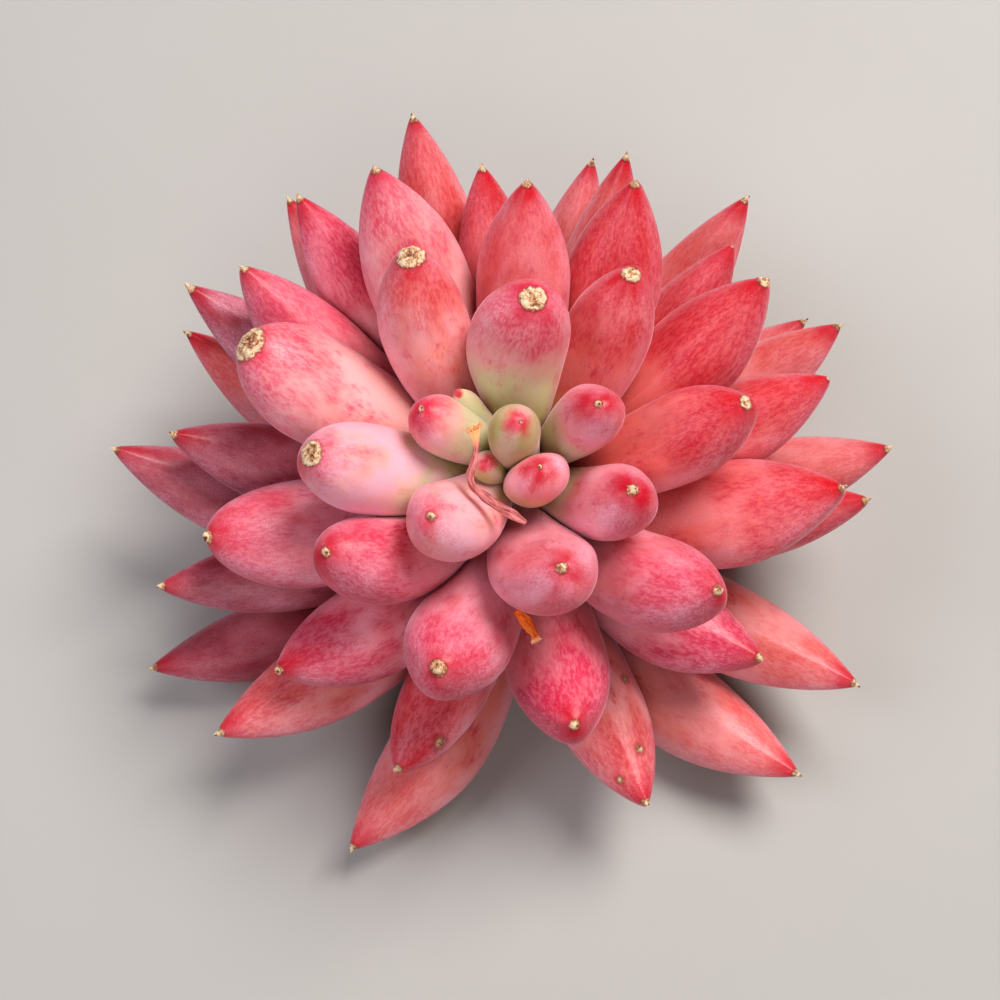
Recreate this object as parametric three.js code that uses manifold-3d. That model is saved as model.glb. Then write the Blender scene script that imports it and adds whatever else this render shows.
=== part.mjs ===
// A cut echeveria rosette: plump pink-red leaves set in rising turns round a short
// woody stem. It is unpotted and stands on the flat cut of its stem, with its lowest
// leaves reaching down to the same surface.
// Millimetres, +Z up the stem, the origin at the middle of the cut face, -Y the front.
import * as THREE from 'three';
import { mergeVertices } from 'three/addons/utils/BufferGeometryUtils.js';
import Module from 'manifold-3d';

// How the rosette was seen in its photograph
const PHOTO_MIDDLE = 500;              // pixels, of a 1000 x 1000 picture
const SIGHT_RISE_DEG = 70;             // the view's angle above the cut face
const SIGHT_DISTANCE = 210;
const SIGHT_TARGET = new THREE.Vector3(-2.5, -2.5, 28);
const PIXELS_PER_MM = 7.2;             // at the target

// Driving dimensions
const GAP = 0.3;                       // clearance between neighbours that touch
const STEM_RADIUS = 5.6;
const STEM_TOP_RADIUS = 2.4;
const STEM_CUT_RADIUS = 6.6;
const STEM_HEIGHT = 39;
const ROOT_HALF_WIDTH = 2.2;
const ROOT_HALF_THICKNESS = 1.2;
const LEAF_SIDES = 8;
const SIMPLIFY_TOLERANCE = 0.12;        // under half of the gap
const UPPER_SHARE = 0.44;               // of the thickness, above the middle line
const MUCRO_HALF_WIDTH = 0.35;         // the dry point at the end of a leaf
const BASE_SINK = 0.8;                 // how far a base starts inside the stem's room
const LOWEST_ROOT = 7;
const HIGHEST_ROOT = 37;

// How crowded leaves settle against each other
const SETTLE_ROUNDS = 150;
const SETTLE_SHARES = [0.12, 0.3, 0.45, 0.6, 0.75, 0.9];
const SETTLE_STEP = 0.12;
const SETTLE_RECALL = 0.01;            // each round's pull back to the tip's first height
const GROUND_CLEARANCE = 0.6;
const ALLOWED_PRESS = 0.6;             // mm that two leaves may press into each other

// Turns of leaves, from the heart of the rosette down to the ones on the ground.
// root: height of the leaf bases on the stem, in mm; the bases of one turn step up and
// down by rootStep. firm: its leaves aren't pushed about by their neighbours.
// belly: where the leaf is widest, as a share of its length.
// sag: how far the leaf hangs under a straight line from base to tip, by its length.
// bow: how far the leaf bends to the left, seen from above and from its base.
// blunt: 0 for a leaf whose underside ends in a point, 1 for one whose underside ends
// as round as a fingertip; oval: the same for its outline and its upper face.
const TURNS = {
  heart:  { firm: true, root: 36.5, rootStep: 0.5, width: 7.6, thickness: 6.8, belly: 0.64,
    sag: 0.10, blunt: 1.0, oval: 0.5, colour: 0xcf8a82, roughness: 0.5 },
  inner:  { root: 33, rootStep: 0.8, width: 10.4, thickness: 9.6, belly: 0.66,
    sag: 0.20, blunt: 1.0, oval: 0.6, colour: 0xd97f80, roughness: 0.5 },
  upper:  { root: 28.5, rootStep: 1.6, width: 12.8, thickness: 11.2, belly: 0.66,
    sag: 0.17, blunt: 1.0, oval: 0.4, colour: 0xdb6f74, roughness: 0.5 },
  middle: { root: 23.5, rootStep: 1.8, width: 13.4, thickness: 11.2, belly: 0.63,
    sag: 0.13, blunt: 0.8, oval: 0.1, colour: 0xd65f68, roughness: 0.5 },
  lower:  { root: 18, rootStep: 1.6, width: 12.8, thickness: 10.4, belly: 0.60,
    sag: 0.10, blunt: 0.6, oval: 0.1, colour: 0xcf5863, roughness: 0.5 },
  base:   { root: 13, rootStep: 2.0, width: 13.0, thickness: 10.2, belly: 0.58,
    sag: 0.08, blunt: 0.5, oval: 0.05, colour: 0xc65360, roughness: 0.5 },
};

// Leaves that the photograph shows: the pixel of the tip, the tip's height above the
// cut face, and the leaf's own sizes where they differ from its turn's.
const SEEN_LEAVES = {
  heart: [
    { tip: [521, 422], height: 50, width: 7.8 },
    { tip: [540, 467], height: 47, width: 9.0, bow: -0.03 },
  ],
  inner: [
    { tip: [598, 404], height: 51, width: 8.6, thickness: 8.6, sag: 0.11,
      bow: 0.06 },
    { tip: [421, 409], height: 47, width: 8.0, thickness: 7.8, sag: 0.08, blunt: 0.7 },
    { tip: [431, 516], height: 47, width: 11.6, sag: 0.18, bow: 0.04 },
    { tip: [562, 568], height: 48, width: 14.0, sag: 0.24, bow: -0.05 },
    { tip: [632, 490], height: 48, width: 10.4 },
  ],
  upper: [
    { tip: [746, 402], height: 46, sag: 0.12 },
    { tip: [631, 273], height: 47, width: 12.0 },
    { tip: [533, 298], height: 54, width: 13.6, sag: 0.15, bow: 0.08, oval: 0.8 },
    { tip: [410, 254], height: 47, width: 12.4, bow: 0.05, oval: 0.6 },
    { tip: [310, 453], height: 45, width: 12.4, sag: 0.13, oval: 0.8 },
    { tip: [326, 552], height: 44, width: 12.6, bow: 0.08, oval: 0.8 },
    { tip: [438, 668], height: 42, width: 14.4, sag: 0.22, oval: 0.7 },
    { tip: [574, 725], height: 32, width: 14.2, sag: 0.22 },
    { tip: [718, 591], height: 41, width: 13.4, bow: -0.06 },
  ],
  middle: [
    { tip: [843, 488], height: 33, width: 15.4, bow: -0.03 },
    { tip: [765, 280], height: 43, width: 13.8 },
    { tip: [635, 183], height: 47, width: 14.2, bow: -0.03 },
    { tip: [527, 183], height: 46, width: 13.2 },
    { tip: [375, 169], height: 49, width: 14.8, bow: -0.02 },
    { tip: [243, 268], height: 36, root: 20, width: 13.2 },
    { tip: [246, 342], height: 43, root: 27, width: 15.2, thickness: 12, belly: 0.7,
      oval: 0.8 },
    { tip: [208, 537], height: 31, width: 16.0, thickness: 12, bow: 0.02, oval: 0.8 },
    { tip: [279, 670], height: 23, width: 14.2, bow: 0.06, oval: 0.3 },
    { tip: [398, 769], height: 18, width: 12.0, oval: 0.4 },
    { tip: [646, 803], height: 18, width: 13.2 },
    { tip: [760, 658], height: 24, width: 13.2, bow: -0.05 },
  ],
  lower: [
    { tip: [867, 500], height: 28, width: 12.0 },
    { tip: [828, 379], height: 34, width: 13.2 },
    { tip: [732, 247], height: 40, width: 11.6 },
    { tip: [482, 168], height: 43, width: 12.0 },
    { tip: [413, 118], height: 48, width: 12.6 },
    { tip: [299, 198], height: 41, width: 12.6 },
    { tip: [173, 434], height: 31, width: 12.4 },
    { tip: [161, 586], height: 24, width: 11.6 },
    { tip: [219, 733], height: 18, width: 13.4, bow: 0.02 },
  ],
  base: [
    { tip: [889, 448], height: 28 },
    { tip: [839, 326], height: 33, root: 15 },
    { tip: [804, 321], height: 23, root: 11, width: 12.0 },
    { tip: [746, 199], height: 41, width: 13.0 },
    { tip: [626, 157], height: 42, width: 11.8 },
    { tip: [592, 162], height: 38, width: 12.0 },
    { tip: [289, 200], height: 37, width: 12.0 },
    { tip: [189, 287], height: 36, width: 12.6 },
    { tip: [188, 333], height: 30, width: 12.0 },
    { tip: [115, 449], height: 29, width: 13.4, bow: 0.03 },
    { tip: [153, 668], height: 10, width: 13.4, bow: 0.02 },
    { tip: [352, 848], height: 8, width: 14.2, bow: 0.08 },
    { tip: [797, 774], height: 11, width: 14.2, bow: -0.05 },
    { tip: [856, 684], height: 16, width: 13.6 },
  ],
};

// Leaflets still growing together at the top of the stem
const LEAFLETS = [
  { tip: [486, 461], height: 44.5, root: 37.5, width: 4.6, thickness: 4.2 },
  { tip: [457, 391], height: 46, root: 36.5, width: 4.6, thickness: 3.2, oval: 0, blunt: 0 },
];

// An old dry filament caught between the heart and the leaves on its left, and a flake
// of dry leaf skin in the front: pixels of the middle line, with heights
const FILAMENT_PATH = [
  { at: [474, 425], height: 49.5 },
  { at: [477, 449], height: 48.2 },
  { at: [470, 473], height: 47.2 },
  { at: [480, 494], height: 46.6 },
  { at: [500, 508], height: 46.4 },
  { at: [526, 523], height: 46 },
];
const FILAMENT_WIDTH = 1.6;
const FILAMENT_THICKNESS = 0.8;
const FLAKE_PATH = [
  { at: [520, 614], height: 39.5 },
  { at: [528, 627], height: 38.8 },
  { at: [536, 641], height: 37.6 },
];
const FLAKE_WIDTH = 1.4;
const FLAKE_THICKNESS = 0.7;

// Leaves of the lowest turn at the back, which the others hide from the photograph:
// the way each points, counterclockwise from +X, and its reach from the stem's axis.
const TUCKED_ROOT_HEIGHT = 9;
const TUCKED_TIP_HEIGHT = 5.5;
const TUCKED_SHAPE = { width: 12.4, thickness: 9, sag: 0.05 };
const TUCKED_LEAVES = [
  { azimuthDeg: 8, reach: 43 },
  { azimuthDeg: 36, reach: 44 },
  { azimuthDeg: 64, reach: 43 },
  { azimuthDeg: 95, reach: 42 },
  { azimuthDeg: 124, reach: 44 },
  { azimuthDeg: 152, reach: 43 },
];

const UP = new THREE.Vector3(0, 0, 1);

// The point at a height above the cut face that the photograph shows at a pixel
function pointSeenAt([column, row], height) {
  const rise = THREE.MathUtils.degToRad(SIGHT_RISE_DEG);
  const away = new THREE.Vector3(0, Math.cos(rise), -Math.sin(rise));
  const right = new THREE.Vector3(1, 0, 0);
  const pictureUp = right.clone().cross(away);
  const eye = SIGHT_TARGET.clone().addScaledVector(away, -SIGHT_DISTANCE);
  const line = away.clone().multiplyScalar(PIXELS_PER_MM * SIGHT_DISTANCE)
    .addScaledVector(right, column - PHOTO_MIDDLE)
    .addScaledVector(pictureUp, PHOTO_MIDDLE - row);
  return eye.addScaledVector(line, (height - eye.z) / line.z);
}

// A closed three.js geometry as a solid that can be cut, its faces turned outward
const wasm = await Module();
wasm.setup();
function toSolid(geometry) {
  const bare = geometry.clone();
  bare.deleteAttribute('normal');
  bare.deleteAttribute('uv');
  const merged = mergeVertices(bare, 1e-4);
  const corners = merged.index.array;
  const kept = [];
  for (let i = 0; i < corners.length; i += 3) {
    const [a, b, c] = [corners[i], corners[i + 1], corners[i + 2]];
    if (a !== b && b !== c && c !== a) kept.push(a, b, c);
  }
  const mesh = new wasm.Mesh({
    numProp: 3,
    vertProperties: Float32Array.from(merged.attributes.position.array),
    triVerts: Uint32Array.from(kept),
  });
  return new wasm.Manifold(mesh);
}

function toGeometry(solid) {
  const mesh = solid.getMesh();
  const geometry = new THREE.BufferGeometry();
  geometry.setAttribute('position', new THREE.BufferAttribute(mesh.vertProperties, 3));
  geometry.setIndex(new THREE.BufferAttribute(mesh.triVerts, 1));
  geometry.computeVertexNormals();
  return geometry;
}

// How much of its greatest size a leaf keeps beyond its belly: it narrows in an even
// curve to a point, or as round as a fingertip where roundness is 1
function endShare(beyond, roundness) {
  const pointed = 1 - beyond ** 2.1;
  const round = Math.sqrt(Math.max(0, 1 - beyond ** 2.4));
  return THREE.MathUtils.lerp(pointed, round, roundness);
}

// A leaf's half-width or half-thickness at a share of its length: it swells from the
// base to the belly and narrows to the dry point
function halfSizeAt(share, belly, rootHalf, half, roundness) {
  if (share <= belly) {
    return rootHalf + (half - rootHalf) * Math.sin((Math.PI / 2) * share / belly);
  }
  const beyond = (share - belly) / (1 - belly);
  return MUCRO_HALF_WIDTH + (half - MUCRO_HALF_WIDTH) * endShare(beyond, roundness);
}
function halfWidthAt(share, { belly, width, oval }) {
  return halfSizeAt(share, belly, ROOT_HALF_WIDTH, width / 2, oval);
}
function upperHalfAt(share, { belly, thickness, oval }) {
  return halfSizeAt(share, belly, ROOT_HALF_THICKNESS, thickness * UPPER_SHARE, oval);
}
function underHalfAt(share, { belly, thickness, blunt }) {
  return halfSizeAt(share, belly, ROOT_HALF_THICKNESS, thickness * (1 - UPPER_SHARE), blunt);
}

// The directions of a leaf: along it, to its right and out of its upper face
function leafAxes({ base, tip }) {
  const along = tip.clone().sub(base);
  const length = along.length();
  along.normalize();
  const side = along.clone().cross(UP).normalize();
  const over = side.clone().cross(along);
  return { along, side, over, length };
}

// A point of a leaf's bent middle line, shifted across and above it
function leafPoint(leaf, axes, share, across = 0, height = 0) {
  const bend = 4 * axes.length * share * (1 - share);
  const pitch = Math.atan(-4 * leaf.sag * (1 - 2 * share));
  return leaf.base.clone()
    .addScaledVector(axes.along, share * axes.length - height * Math.sin(pitch))
    .addScaledVector(axes.side, across - leaf.bow * bend)
    .addScaledVector(axes.over, height * Math.cos(pitch) - leaf.sag * bend);
}

// One leaf: a turned body, flattened, bent upward and laid from its base to its tip.
// grow makes the same leaf larger all round, for cutting clearance in a neighbour.
const LEAF_STATIONS = [0, 0.16, 0.34, 0.5, 0.64, 0.78, 0.89, 0.965];
function makeLeaf(leaf, grow = 0) {
  const axes = leafAxes(leaf);
  axes.length += grow;
  const outline = [new THREE.Vector2(0, 0)];
  for (const share of LEAF_STATIONS) {
    outline.push(new THREE.Vector2(halfWidthAt(share, leaf) + grow, share));
  }
  outline.push(new THREE.Vector2(0, 1));
  const geometry = new THREE.LatheGeometry(outline, LEAF_SIDES);
  const position = geometry.attributes.position;
  for (let i = 0; i < position.count; i++) {
    const share = position.getY(i);
    const across = position.getX(i);
    const radius = Math.hypot(across, position.getZ(i));
    const rise = radius === 0 ? 0 : position.getZ(i) / radius;
    const half = rise > 0 ? upperHalfAt(share, leaf) : underHalfAt(share, leaf);
    const point = leafPoint(leaf, axes, share, across, rise * (half + grow));
    position.setXYZ(i, point.x, point.y, point.z);
  }
  return toSolid(geometry);
}

// The stem: a woody stub with a flat cut foot, swollen where old leaves came away,
// narrowing to the growing point
function stemRadiusAt(height) {
  return THREE.MathUtils.lerp(STEM_RADIUS, STEM_TOP_RADIUS, (height / STEM_HEIGHT) ** 1.6);
}

function makeStem(grow = 0) {
  const outline = [new THREE.Vector2(0, 0), new THREE.Vector2(STEM_CUT_RADIUS - 0.6 + grow, 0),
    new THREE.Vector2(STEM_CUT_RADIUS + grow, 0.8), new THREE.Vector2(STEM_RADIUS + grow, 3)];
  for (const share of [0.2, 0.4, 0.6, 0.8, 0.92]) {
    const height = share * STEM_HEIGHT;
    outline.push(new THREE.Vector2(stemRadiusAt(height) + grow, height));
  }
  outline.push(new THREE.Vector2(STEM_TOP_RADIUS * 0.6 + grow, STEM_HEIGHT - 0.8));
  outline.push(new THREE.Vector2(0, STEM_HEIGHT + grow));
  const geometry = new THREE.LatheGeometry(outline, 16);
  geometry.rotateX(Math.PI / 2);
  return toSolid(geometry);
}

// A leaf's base sits on the stem, at a height and turned some way round it
function seat(leaf) {
  const radius = stemRadiusAt(leaf.rootHeight) - BASE_SINK;
  leaf.base = new THREE.Vector3(Math.cos(leaf.rootTurn) * radius,
    Math.sin(leaf.rootTurn) * radius, leaf.rootHeight);
  leaf.tip = leaf.tipAt(leaf.tipHeight);
}

const leaves = [];
function addLeaf(name, shape, tipAt, tipHeight, rootHeight) {
  const tip = tipAt(tipHeight);
  const leaf = { bow: 0, ...shape, name, tipAt, tipHeight, rootHeight,
    wishedTipHeight: tipHeight, rootTurn: Math.atan2(tip.y, tip.x) };
  seat(leaf);
  leaves.push(leaf);
}
for (const [turn, shape] of Object.entries(TURNS)) {
  SEEN_LEAVES[turn].forEach(({ tip, height, ...own }, i) => {
    const root = own.root ?? shape.root + shape.rootStep * ((i % 3) - 1);
    addLeaf(`leaf_${turn}_${i + 1}`, { ...shape, ...own }, (z) => pointSeenAt(tip, z),
      height, root);
  });
}
TUCKED_LEAVES.forEach(({ azimuthDeg, reach }, i) => {
  const azimuth = THREE.MathUtils.degToRad(azimuthDeg);
  const tipAt = (z) => new THREE.Vector3(Math.cos(azimuth) * reach,
    Math.sin(azimuth) * reach, z);
  addLeaf(`leaf_tucked_${i + 1}`, { ...TURNS.base, ...TUCKED_SHAPE }, tipAt,
    TUCKED_TIP_HEIGHT, TUCKED_ROOT_HEIGHT);
});

// Half the room that a leaf takes up in a direction, at a share of its length
function roomToward(direction, leaf, share) {
  const wide = halfWidthAt(share, leaf);
  const thick = (upperHalfAt(share, leaf) + underHalfAt(share, leaf)) / 2;
  const level = Math.hypot(direction.x, direction.y);
  return 1 / Math.hypot(direction.z / thick, level / wide);
}

// Crowded leaves push each other apart, as growing ones do: a tip rises or sinks on
// its line of sight and a base creeps up, down or round the stem. None of them may
// go below the surface that the rosette stands on.
function settleLeaves() {
  for (let round = 0; round < SETTLE_ROUNDS; round++) {
    const moves = leaves.map(() => ({ tip: 0, root: 0, turn: 0 }));
    const lines = leaves.map((leaf) => {
      const axes = leafAxes(leaf);
      return SETTLE_SHARES.map((share) => leafPoint(leaf, axes, share));
    });
    const push = (k, share, shift) => {
      const { rootTurn } = leaves[k];
      const round = shift.y * Math.cos(rootTurn) - shift.x * Math.sin(rootTurn);
      moves[k].tip += shift.z * share;
      moves[k].root += shift.z * (1 - share);
      moves[k].turn += round * (1 - share) / STEM_RADIUS;
    };
    for (let i = 0; i < leaves.length; i++) {
      lines[i].forEach((point, a) => {
        const share = SETTLE_SHARES[a];
        const sunk = underHalfAt(share, leaves[i]) + GROUND_CLEARANCE - point.z;
        if (sunk > 0) push(i, share, new THREE.Vector3(0, 0, 2 * sunk));
      });
      for (let j = i + 1; j < leaves.length; j++) {
        lines[i].forEach((here, a) => lines[j].forEach((there, b) => {
          const apart = here.clone().sub(there);
          const distance = apart.length();
          apart.divideScalar(distance);
          const [shareA, shareB] = [SETTLE_SHARES[a], SETTLE_SHARES[b]];
          const needed = roomToward(apart, leaves[i], shareA)
            + roomToward(apart, leaves[j], shareB) - ALLOWED_PRESS;
          if (distance >= needed) return;
          apart.multiplyScalar((needed - distance) / 2);
          push(i, shareA, apart);
          push(j, shareB, apart.clone().negate());
        }));
      }
    }
    leaves.forEach((leaf, k) => {
      if (leaf.firm) return;
      leaf.tipHeight += SETTLE_STEP * moves[k].tip
        + SETTLE_RECALL * (leaf.wishedTipHeight - leaf.tipHeight);
      leaf.rootHeight += SETTLE_STEP * moves[k].root;
      leaf.rootHeight = THREE.MathUtils.clamp(leaf.rootHeight, LOWEST_ROOT, HIGHEST_ROOT);
      leaf.rootTurn += SETTLE_STEP * moves[k].turn;
      seat(leaf);
    });
  }
}
settleLeaves();

// A thin dry strip along a line of points, given by its width and thickness
const STRIP_SIDES = 6;
function makeStrip(path, width, thickness, grow = 0) {
  const curve = new THREE.CatmullRomCurve3(
    path.map(({ at, height }) => pointSeenAt(at, height)));
  const section = new THREE.Shape();
  section.absellipse(0, 0, thickness / 2 + grow, width / 2 + grow, 0, 2 * Math.PI);
  const steps = 2 * (path.length - 1);
  return toSolid(new THREE.ExtrudeGeometry(section,
    { steps, curveSegments: STRIP_SIDES, extrudePath: curve }));
}

// The room that several leaves take up together
function makeRooms(some) {
  return some.map((leaf) => makeLeaf(leaf, GAP)).reduce((all, one) => all.add(one));
}

const rosette = new THREE.Group();
function place(name, solid, colour, roughness) {
  const material = new THREE.MeshStandardMaterial({ color: colour, roughness, metalness: 0 });
  material.name = name;
  const mesh = new THREE.Mesh(toGeometry(solid), material);
  mesh.name = name;
  rosette.add(mesh);
}

const leaflets = LEAFLETS.map(({ tip, height, root, ...own }) => {
  const leaf = { bow: 0, ...TURNS.heart, ...own, rootHeight: root, tipHeight: height,
    tipAt: (z) => pointSeenAt(tip, z) };
  leaf.rootTurn = Math.atan2(leaf.tipAt(height).y, leaf.tipAt(height).x);
  seat(leaf);
  return leaf;
});
let stem = makeStem();
for (const leaflet of leaflets) stem = stem.add(makeLeaf(leaflet));
place('stem', stem.simplify(SIMPLIFY_TOLERANCE), 0x8a7a5c, 0.85);
place('dry_filament', makeStrip(FILAMENT_PATH, FILAMENT_WIDTH, FILAMENT_THICKNESS)
  .subtract(makeRooms(leaflets)).simplify(SIMPLIFY_TOLERANCE), 0xc9907c, 0.8);
place('dry_flake', makeStrip(FLAKE_PATH, FLAKE_WIDTH, FLAKE_THICKNESS), 0xc8662a, 0.8);

// Where leaves crowd together the outer leaf, the one of longer reach, is pressed hollow
const reach = (leaf) => Math.hypot(leaf.tip.x, leaf.tip.y);
leaves.sort((a, b) => reach(a) - reach(b));
const rooms = [makeStem(GAP), makeRooms(leaflets),
  makeStrip(FILAMENT_PATH, FILAMENT_WIDTH, FILAMENT_THICKNESS, GAP),
  makeStrip(FLAKE_PATH, FLAKE_WIDTH, FLAKE_THICKNESS, GAP)];
for (const leaf of leaves) {
  let solid = makeLeaf(leaf);
  for (const room of rooms) {
    if (solid.intersect(room).volume() > 0) solid = solid.subtract(room);
  }
  const bodies = solid.simplify(SIMPLIFY_TOLERANCE).decompose()
    .sort((a, b) => b.volume() - a.volume());
  rooms.push(makeLeaf(leaf, GAP));
  place(leaf.name, bodies[0], leaf.colour, leaf.roughness);
}

export default rosette;
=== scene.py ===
"""The looks of a cut echeveria rosette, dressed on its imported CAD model.

Every leaf is lofted again, smooth and fine, over its CAD node: the corners of the node's
own mesh give the leaf's base, tip, width, thickness and bend. Shaping is done in
millimetres, and a mesh is turned into metres when it is made.
"""

import logging
import math
from dataclasses import dataclass, field, replace
from enum import Enum
from typing import Callable, Iterable, Union

import bpy
import numpy as np
from mathutils import Matrix, Vector, noise


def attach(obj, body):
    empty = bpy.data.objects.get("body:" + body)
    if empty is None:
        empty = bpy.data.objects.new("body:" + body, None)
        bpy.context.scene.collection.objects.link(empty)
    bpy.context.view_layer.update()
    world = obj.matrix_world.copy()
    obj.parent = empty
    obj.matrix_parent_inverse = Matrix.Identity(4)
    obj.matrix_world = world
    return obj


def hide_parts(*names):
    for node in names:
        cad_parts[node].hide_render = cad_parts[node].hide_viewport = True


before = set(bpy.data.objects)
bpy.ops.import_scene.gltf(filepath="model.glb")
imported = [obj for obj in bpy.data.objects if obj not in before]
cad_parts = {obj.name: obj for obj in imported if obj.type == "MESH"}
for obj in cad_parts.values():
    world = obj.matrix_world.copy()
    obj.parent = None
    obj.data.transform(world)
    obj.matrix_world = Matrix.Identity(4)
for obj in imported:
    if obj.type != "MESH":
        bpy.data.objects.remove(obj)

log = logging.getLogger("rosette")
logging.basicConfig(level=logging.INFO, format="%(name)s: %(message)s")

MM = 0.001
RELIEF_STRENGTH = 0.8
UP = np.array([0.0, 0.0, 1.0])

Socket = bpy.types.NodeSocket
Colour = tuple[float, float, float, float]
Feed = Union[Socket, float, Colour, tuple[float, float, float]]


def paint(code: int) -> Colour:
    """A colour given as 0xRRGGBB, as the linear values that shaders take.

    Args:
        code: The colour as it looks on a screen.

    Returns:
        Red, green, blue and full alpha.
    """
    parts = [((code >> shift) & 255) / 255 for shift in (16, 8, 0)]
    red, green, blue = [p / 12.92 if p <= 0.04045 else ((p + 0.055) / 1.055) ** 2.4 for p in parts]
    return (red, green, blue, 1.0)


# Wiring of shader nodes

class Wiring:
    """Adds nodes to a tree and links them, so that a finish reads as a recipe."""

    def __init__(self, tree: bpy.types.NodeTree) -> None:
        """Starts on the node tree of a material or a group."""
        self.tree = tree

    def node(self, kind: str, **settings: object) -> bpy.types.Node:
        """Adds a node.

        Args:
            kind: The node's type, without its ShaderNode prefix.
            settings: Properties to set on it.

        Returns:
            The new node.
        """
        made = self.tree.nodes.new("ShaderNode" + kind)
        for name, value in settings.items():
            setattr(made, name, value)
        return made

    def feed(self, socket: Socket, value: Feed) -> None:
        """Links a socket's output to an input, or sets a plain value on it.

        Args:
            socket: The input.
            value: Another node's output, or a number, colour or vector.
        """
        if isinstance(value, bpy.types.NodeSocket):
            self.tree.links.new(value, socket)
        else:
            socket.default_value = value

    def math(self, operation: str, first: Feed, second: Feed = 0.0, clamp: bool = False) -> Socket:
        """One sum on numbers.

        Args:
            operation: The Math node's operation.
            first: First number.
            second: Second number.
            clamp: Whether the result is kept from 0 to 1.

        Returns:
            The result.
        """
        made = self.node("Math", operation=operation, use_clamp=clamp)
        self.feed(made.inputs[0], first)
        self.feed(made.inputs[1], second)
        return made.outputs[0]

    def times(self, first: Feed, second: Feed, clamp: bool = False) -> Socket:
        """The product of two numbers, kept from 0 to 1 if asked."""
        return self.math("MULTIPLY", first, second, clamp)

    def rest(self, share: Feed) -> Socket:
        """What a share leaves of 1."""
        return self.math("SUBTRACT", 1.0, share)

    def total(self, *terms: tuple[Feed, float]) -> Socket:
        """The sum of several values, each times its own weight.

        Args:
            terms: Pairs of a value and its weight.

        Returns:
            The sum.
        """
        result: Feed = 0.0
        for value, weight in terms:
            made = self.node("Math", operation="MULTIPLY_ADD")
            self.feed(made.inputs[0], value)
            made.inputs[1].default_value = weight
            self.feed(made.inputs[2], result)
            result = made.outputs[0]
        return result

    def band(self, value: Feed, low: Feed, high: Feed) -> Socket:
        """A soft step from 0 at low to 1 at high.

        Args:
            value: What is looked at.
            low: Where the step starts.
            high: Where the step ends.

        Returns:
            A number from 0 to 1.
        """
        made = self.node("MapRange", interpolation_type="SMOOTHSTEP")
        self.feed(made.inputs[0], value)
        self.feed(made.inputs[1], low)
        self.feed(made.inputs[2], high)
        return made.outputs[0]

    def mix(self, mask: Feed, under: Feed, over: Feed) -> Socket:
        """One colour laid over another.

        Args:
            mask: How much of the upper colour shows, from 0 to 1.
            under: The lower colour.
            over: The upper colour.

        Returns:
            The mixed colour.
        """
        made = self.node("Mix", data_type="RGBA", clamp_factor=True)
        self.feed(made.inputs[0], mask)
        self.feed(made.inputs[6], under)
        self.feed(made.inputs[7], over)
        return made.outputs[2]

    def between(self, mask: Feed, low: Feed, high: Feed) -> Socket:
        """A number between two others.

        Args:
            mask: 0 for the first number, 1 for the second.
            low: The first number.
            high: The second number.

        Returns:
            The number between them.
        """
        made = self.node("Mix", data_type="FLOAT", clamp_factor=True)
        self.feed(made.inputs[0], mask)
        self.feed(made.inputs[2], low)
        self.feed(made.inputs[3], high)
        return made.outputs[0]

    def stretched(self, place: Socket, factors: tuple[float, float, float]) -> Socket:
        """A place with each direction scaled, for a texture that runs one way.

        Args:
            place: The place on the surface.
            factors: Scale along each direction; a small one draws the texture out.

        Returns:
            The scaled place.
        """
        made = self.node("VectorMath", operation="MULTIPLY")
        self.feed(made.inputs[0], place)
        made.inputs[1].default_value = factors
        return made.outputs[0]

    def noise(self, place: Socket, scale: float, detail: float = 3.0, rough: float = 0.55) -> Socket:
        """Soft random variation.

        Args:
            place: The place on the surface, in mm.
            scale: Waves per mm.
            detail: How many finer layers it has.
            rough: How strong the finer layers are.

        Returns:
            A number round one half.
        """
        made = self.node("TexNoise")
        self.feed(made.inputs["Vector"], place)
        made.inputs["Scale"].default_value = scale
        made.inputs["Detail"].default_value = detail
        made.inputs["Roughness"].default_value = rough
        return made.outputs["Fac"]

    def cells(self, place: Socket, scale: float) -> Socket:
        """Distance to the middle of the nearest of scattered cells.

        Args:
            place: The place on the surface, in mm.
            scale: Cells per mm.

        Returns:
            The distance, in cells.
        """
        made = self.node("TexVoronoi")
        self.feed(made.inputs["Vector"], place)
        made.inputs["Scale"].default_value = scale
        return made.outputs["Distance"]

    def own(self, name: str) -> Socket:
        """A vector that the mesh keeps at its points under that name."""
        return self.node("Attribute", attribute_name=name).outputs["Vector"]

    def own_number(self, name: str) -> Socket:
        """A number that the mesh keeps at its points under that name."""
        return self.node("Attribute", attribute_name=name).outputs["Fac"]

    def parts(self, vector: Socket) -> tuple[Socket, Socket, Socket]:
        """The three numbers of a vector."""
        made = self.node("SeparateXYZ")
        self.feed(made.inputs[0], vector)
        return made.outputs[0], made.outputs[1], made.outputs[2]


class Effect(Enum):
    """Surface effects that several materials share, each a shader node group."""

    PATTERN = "skin pattern"
    PIGMENT = "leaf pigment"
    BLOOM = "waxy bloom"
    GRAIN = "skin grain"
    DRY_TISSUE = "dry tissue"
    FIBRES = "dry fibres"


# Names under which a mesh keeps, at its points, what the effects read
PLACE = "leaf_place"      # share of the length, sideways and upward parts of the direction
LOCAL = "local_mm"        # place along, across and above the middle line, in mm
FROM_POINT = "point_mm"   # distance from the dry point, in mm
CRUST = "crust_mm"        # height of the dry crust, in mm


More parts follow.
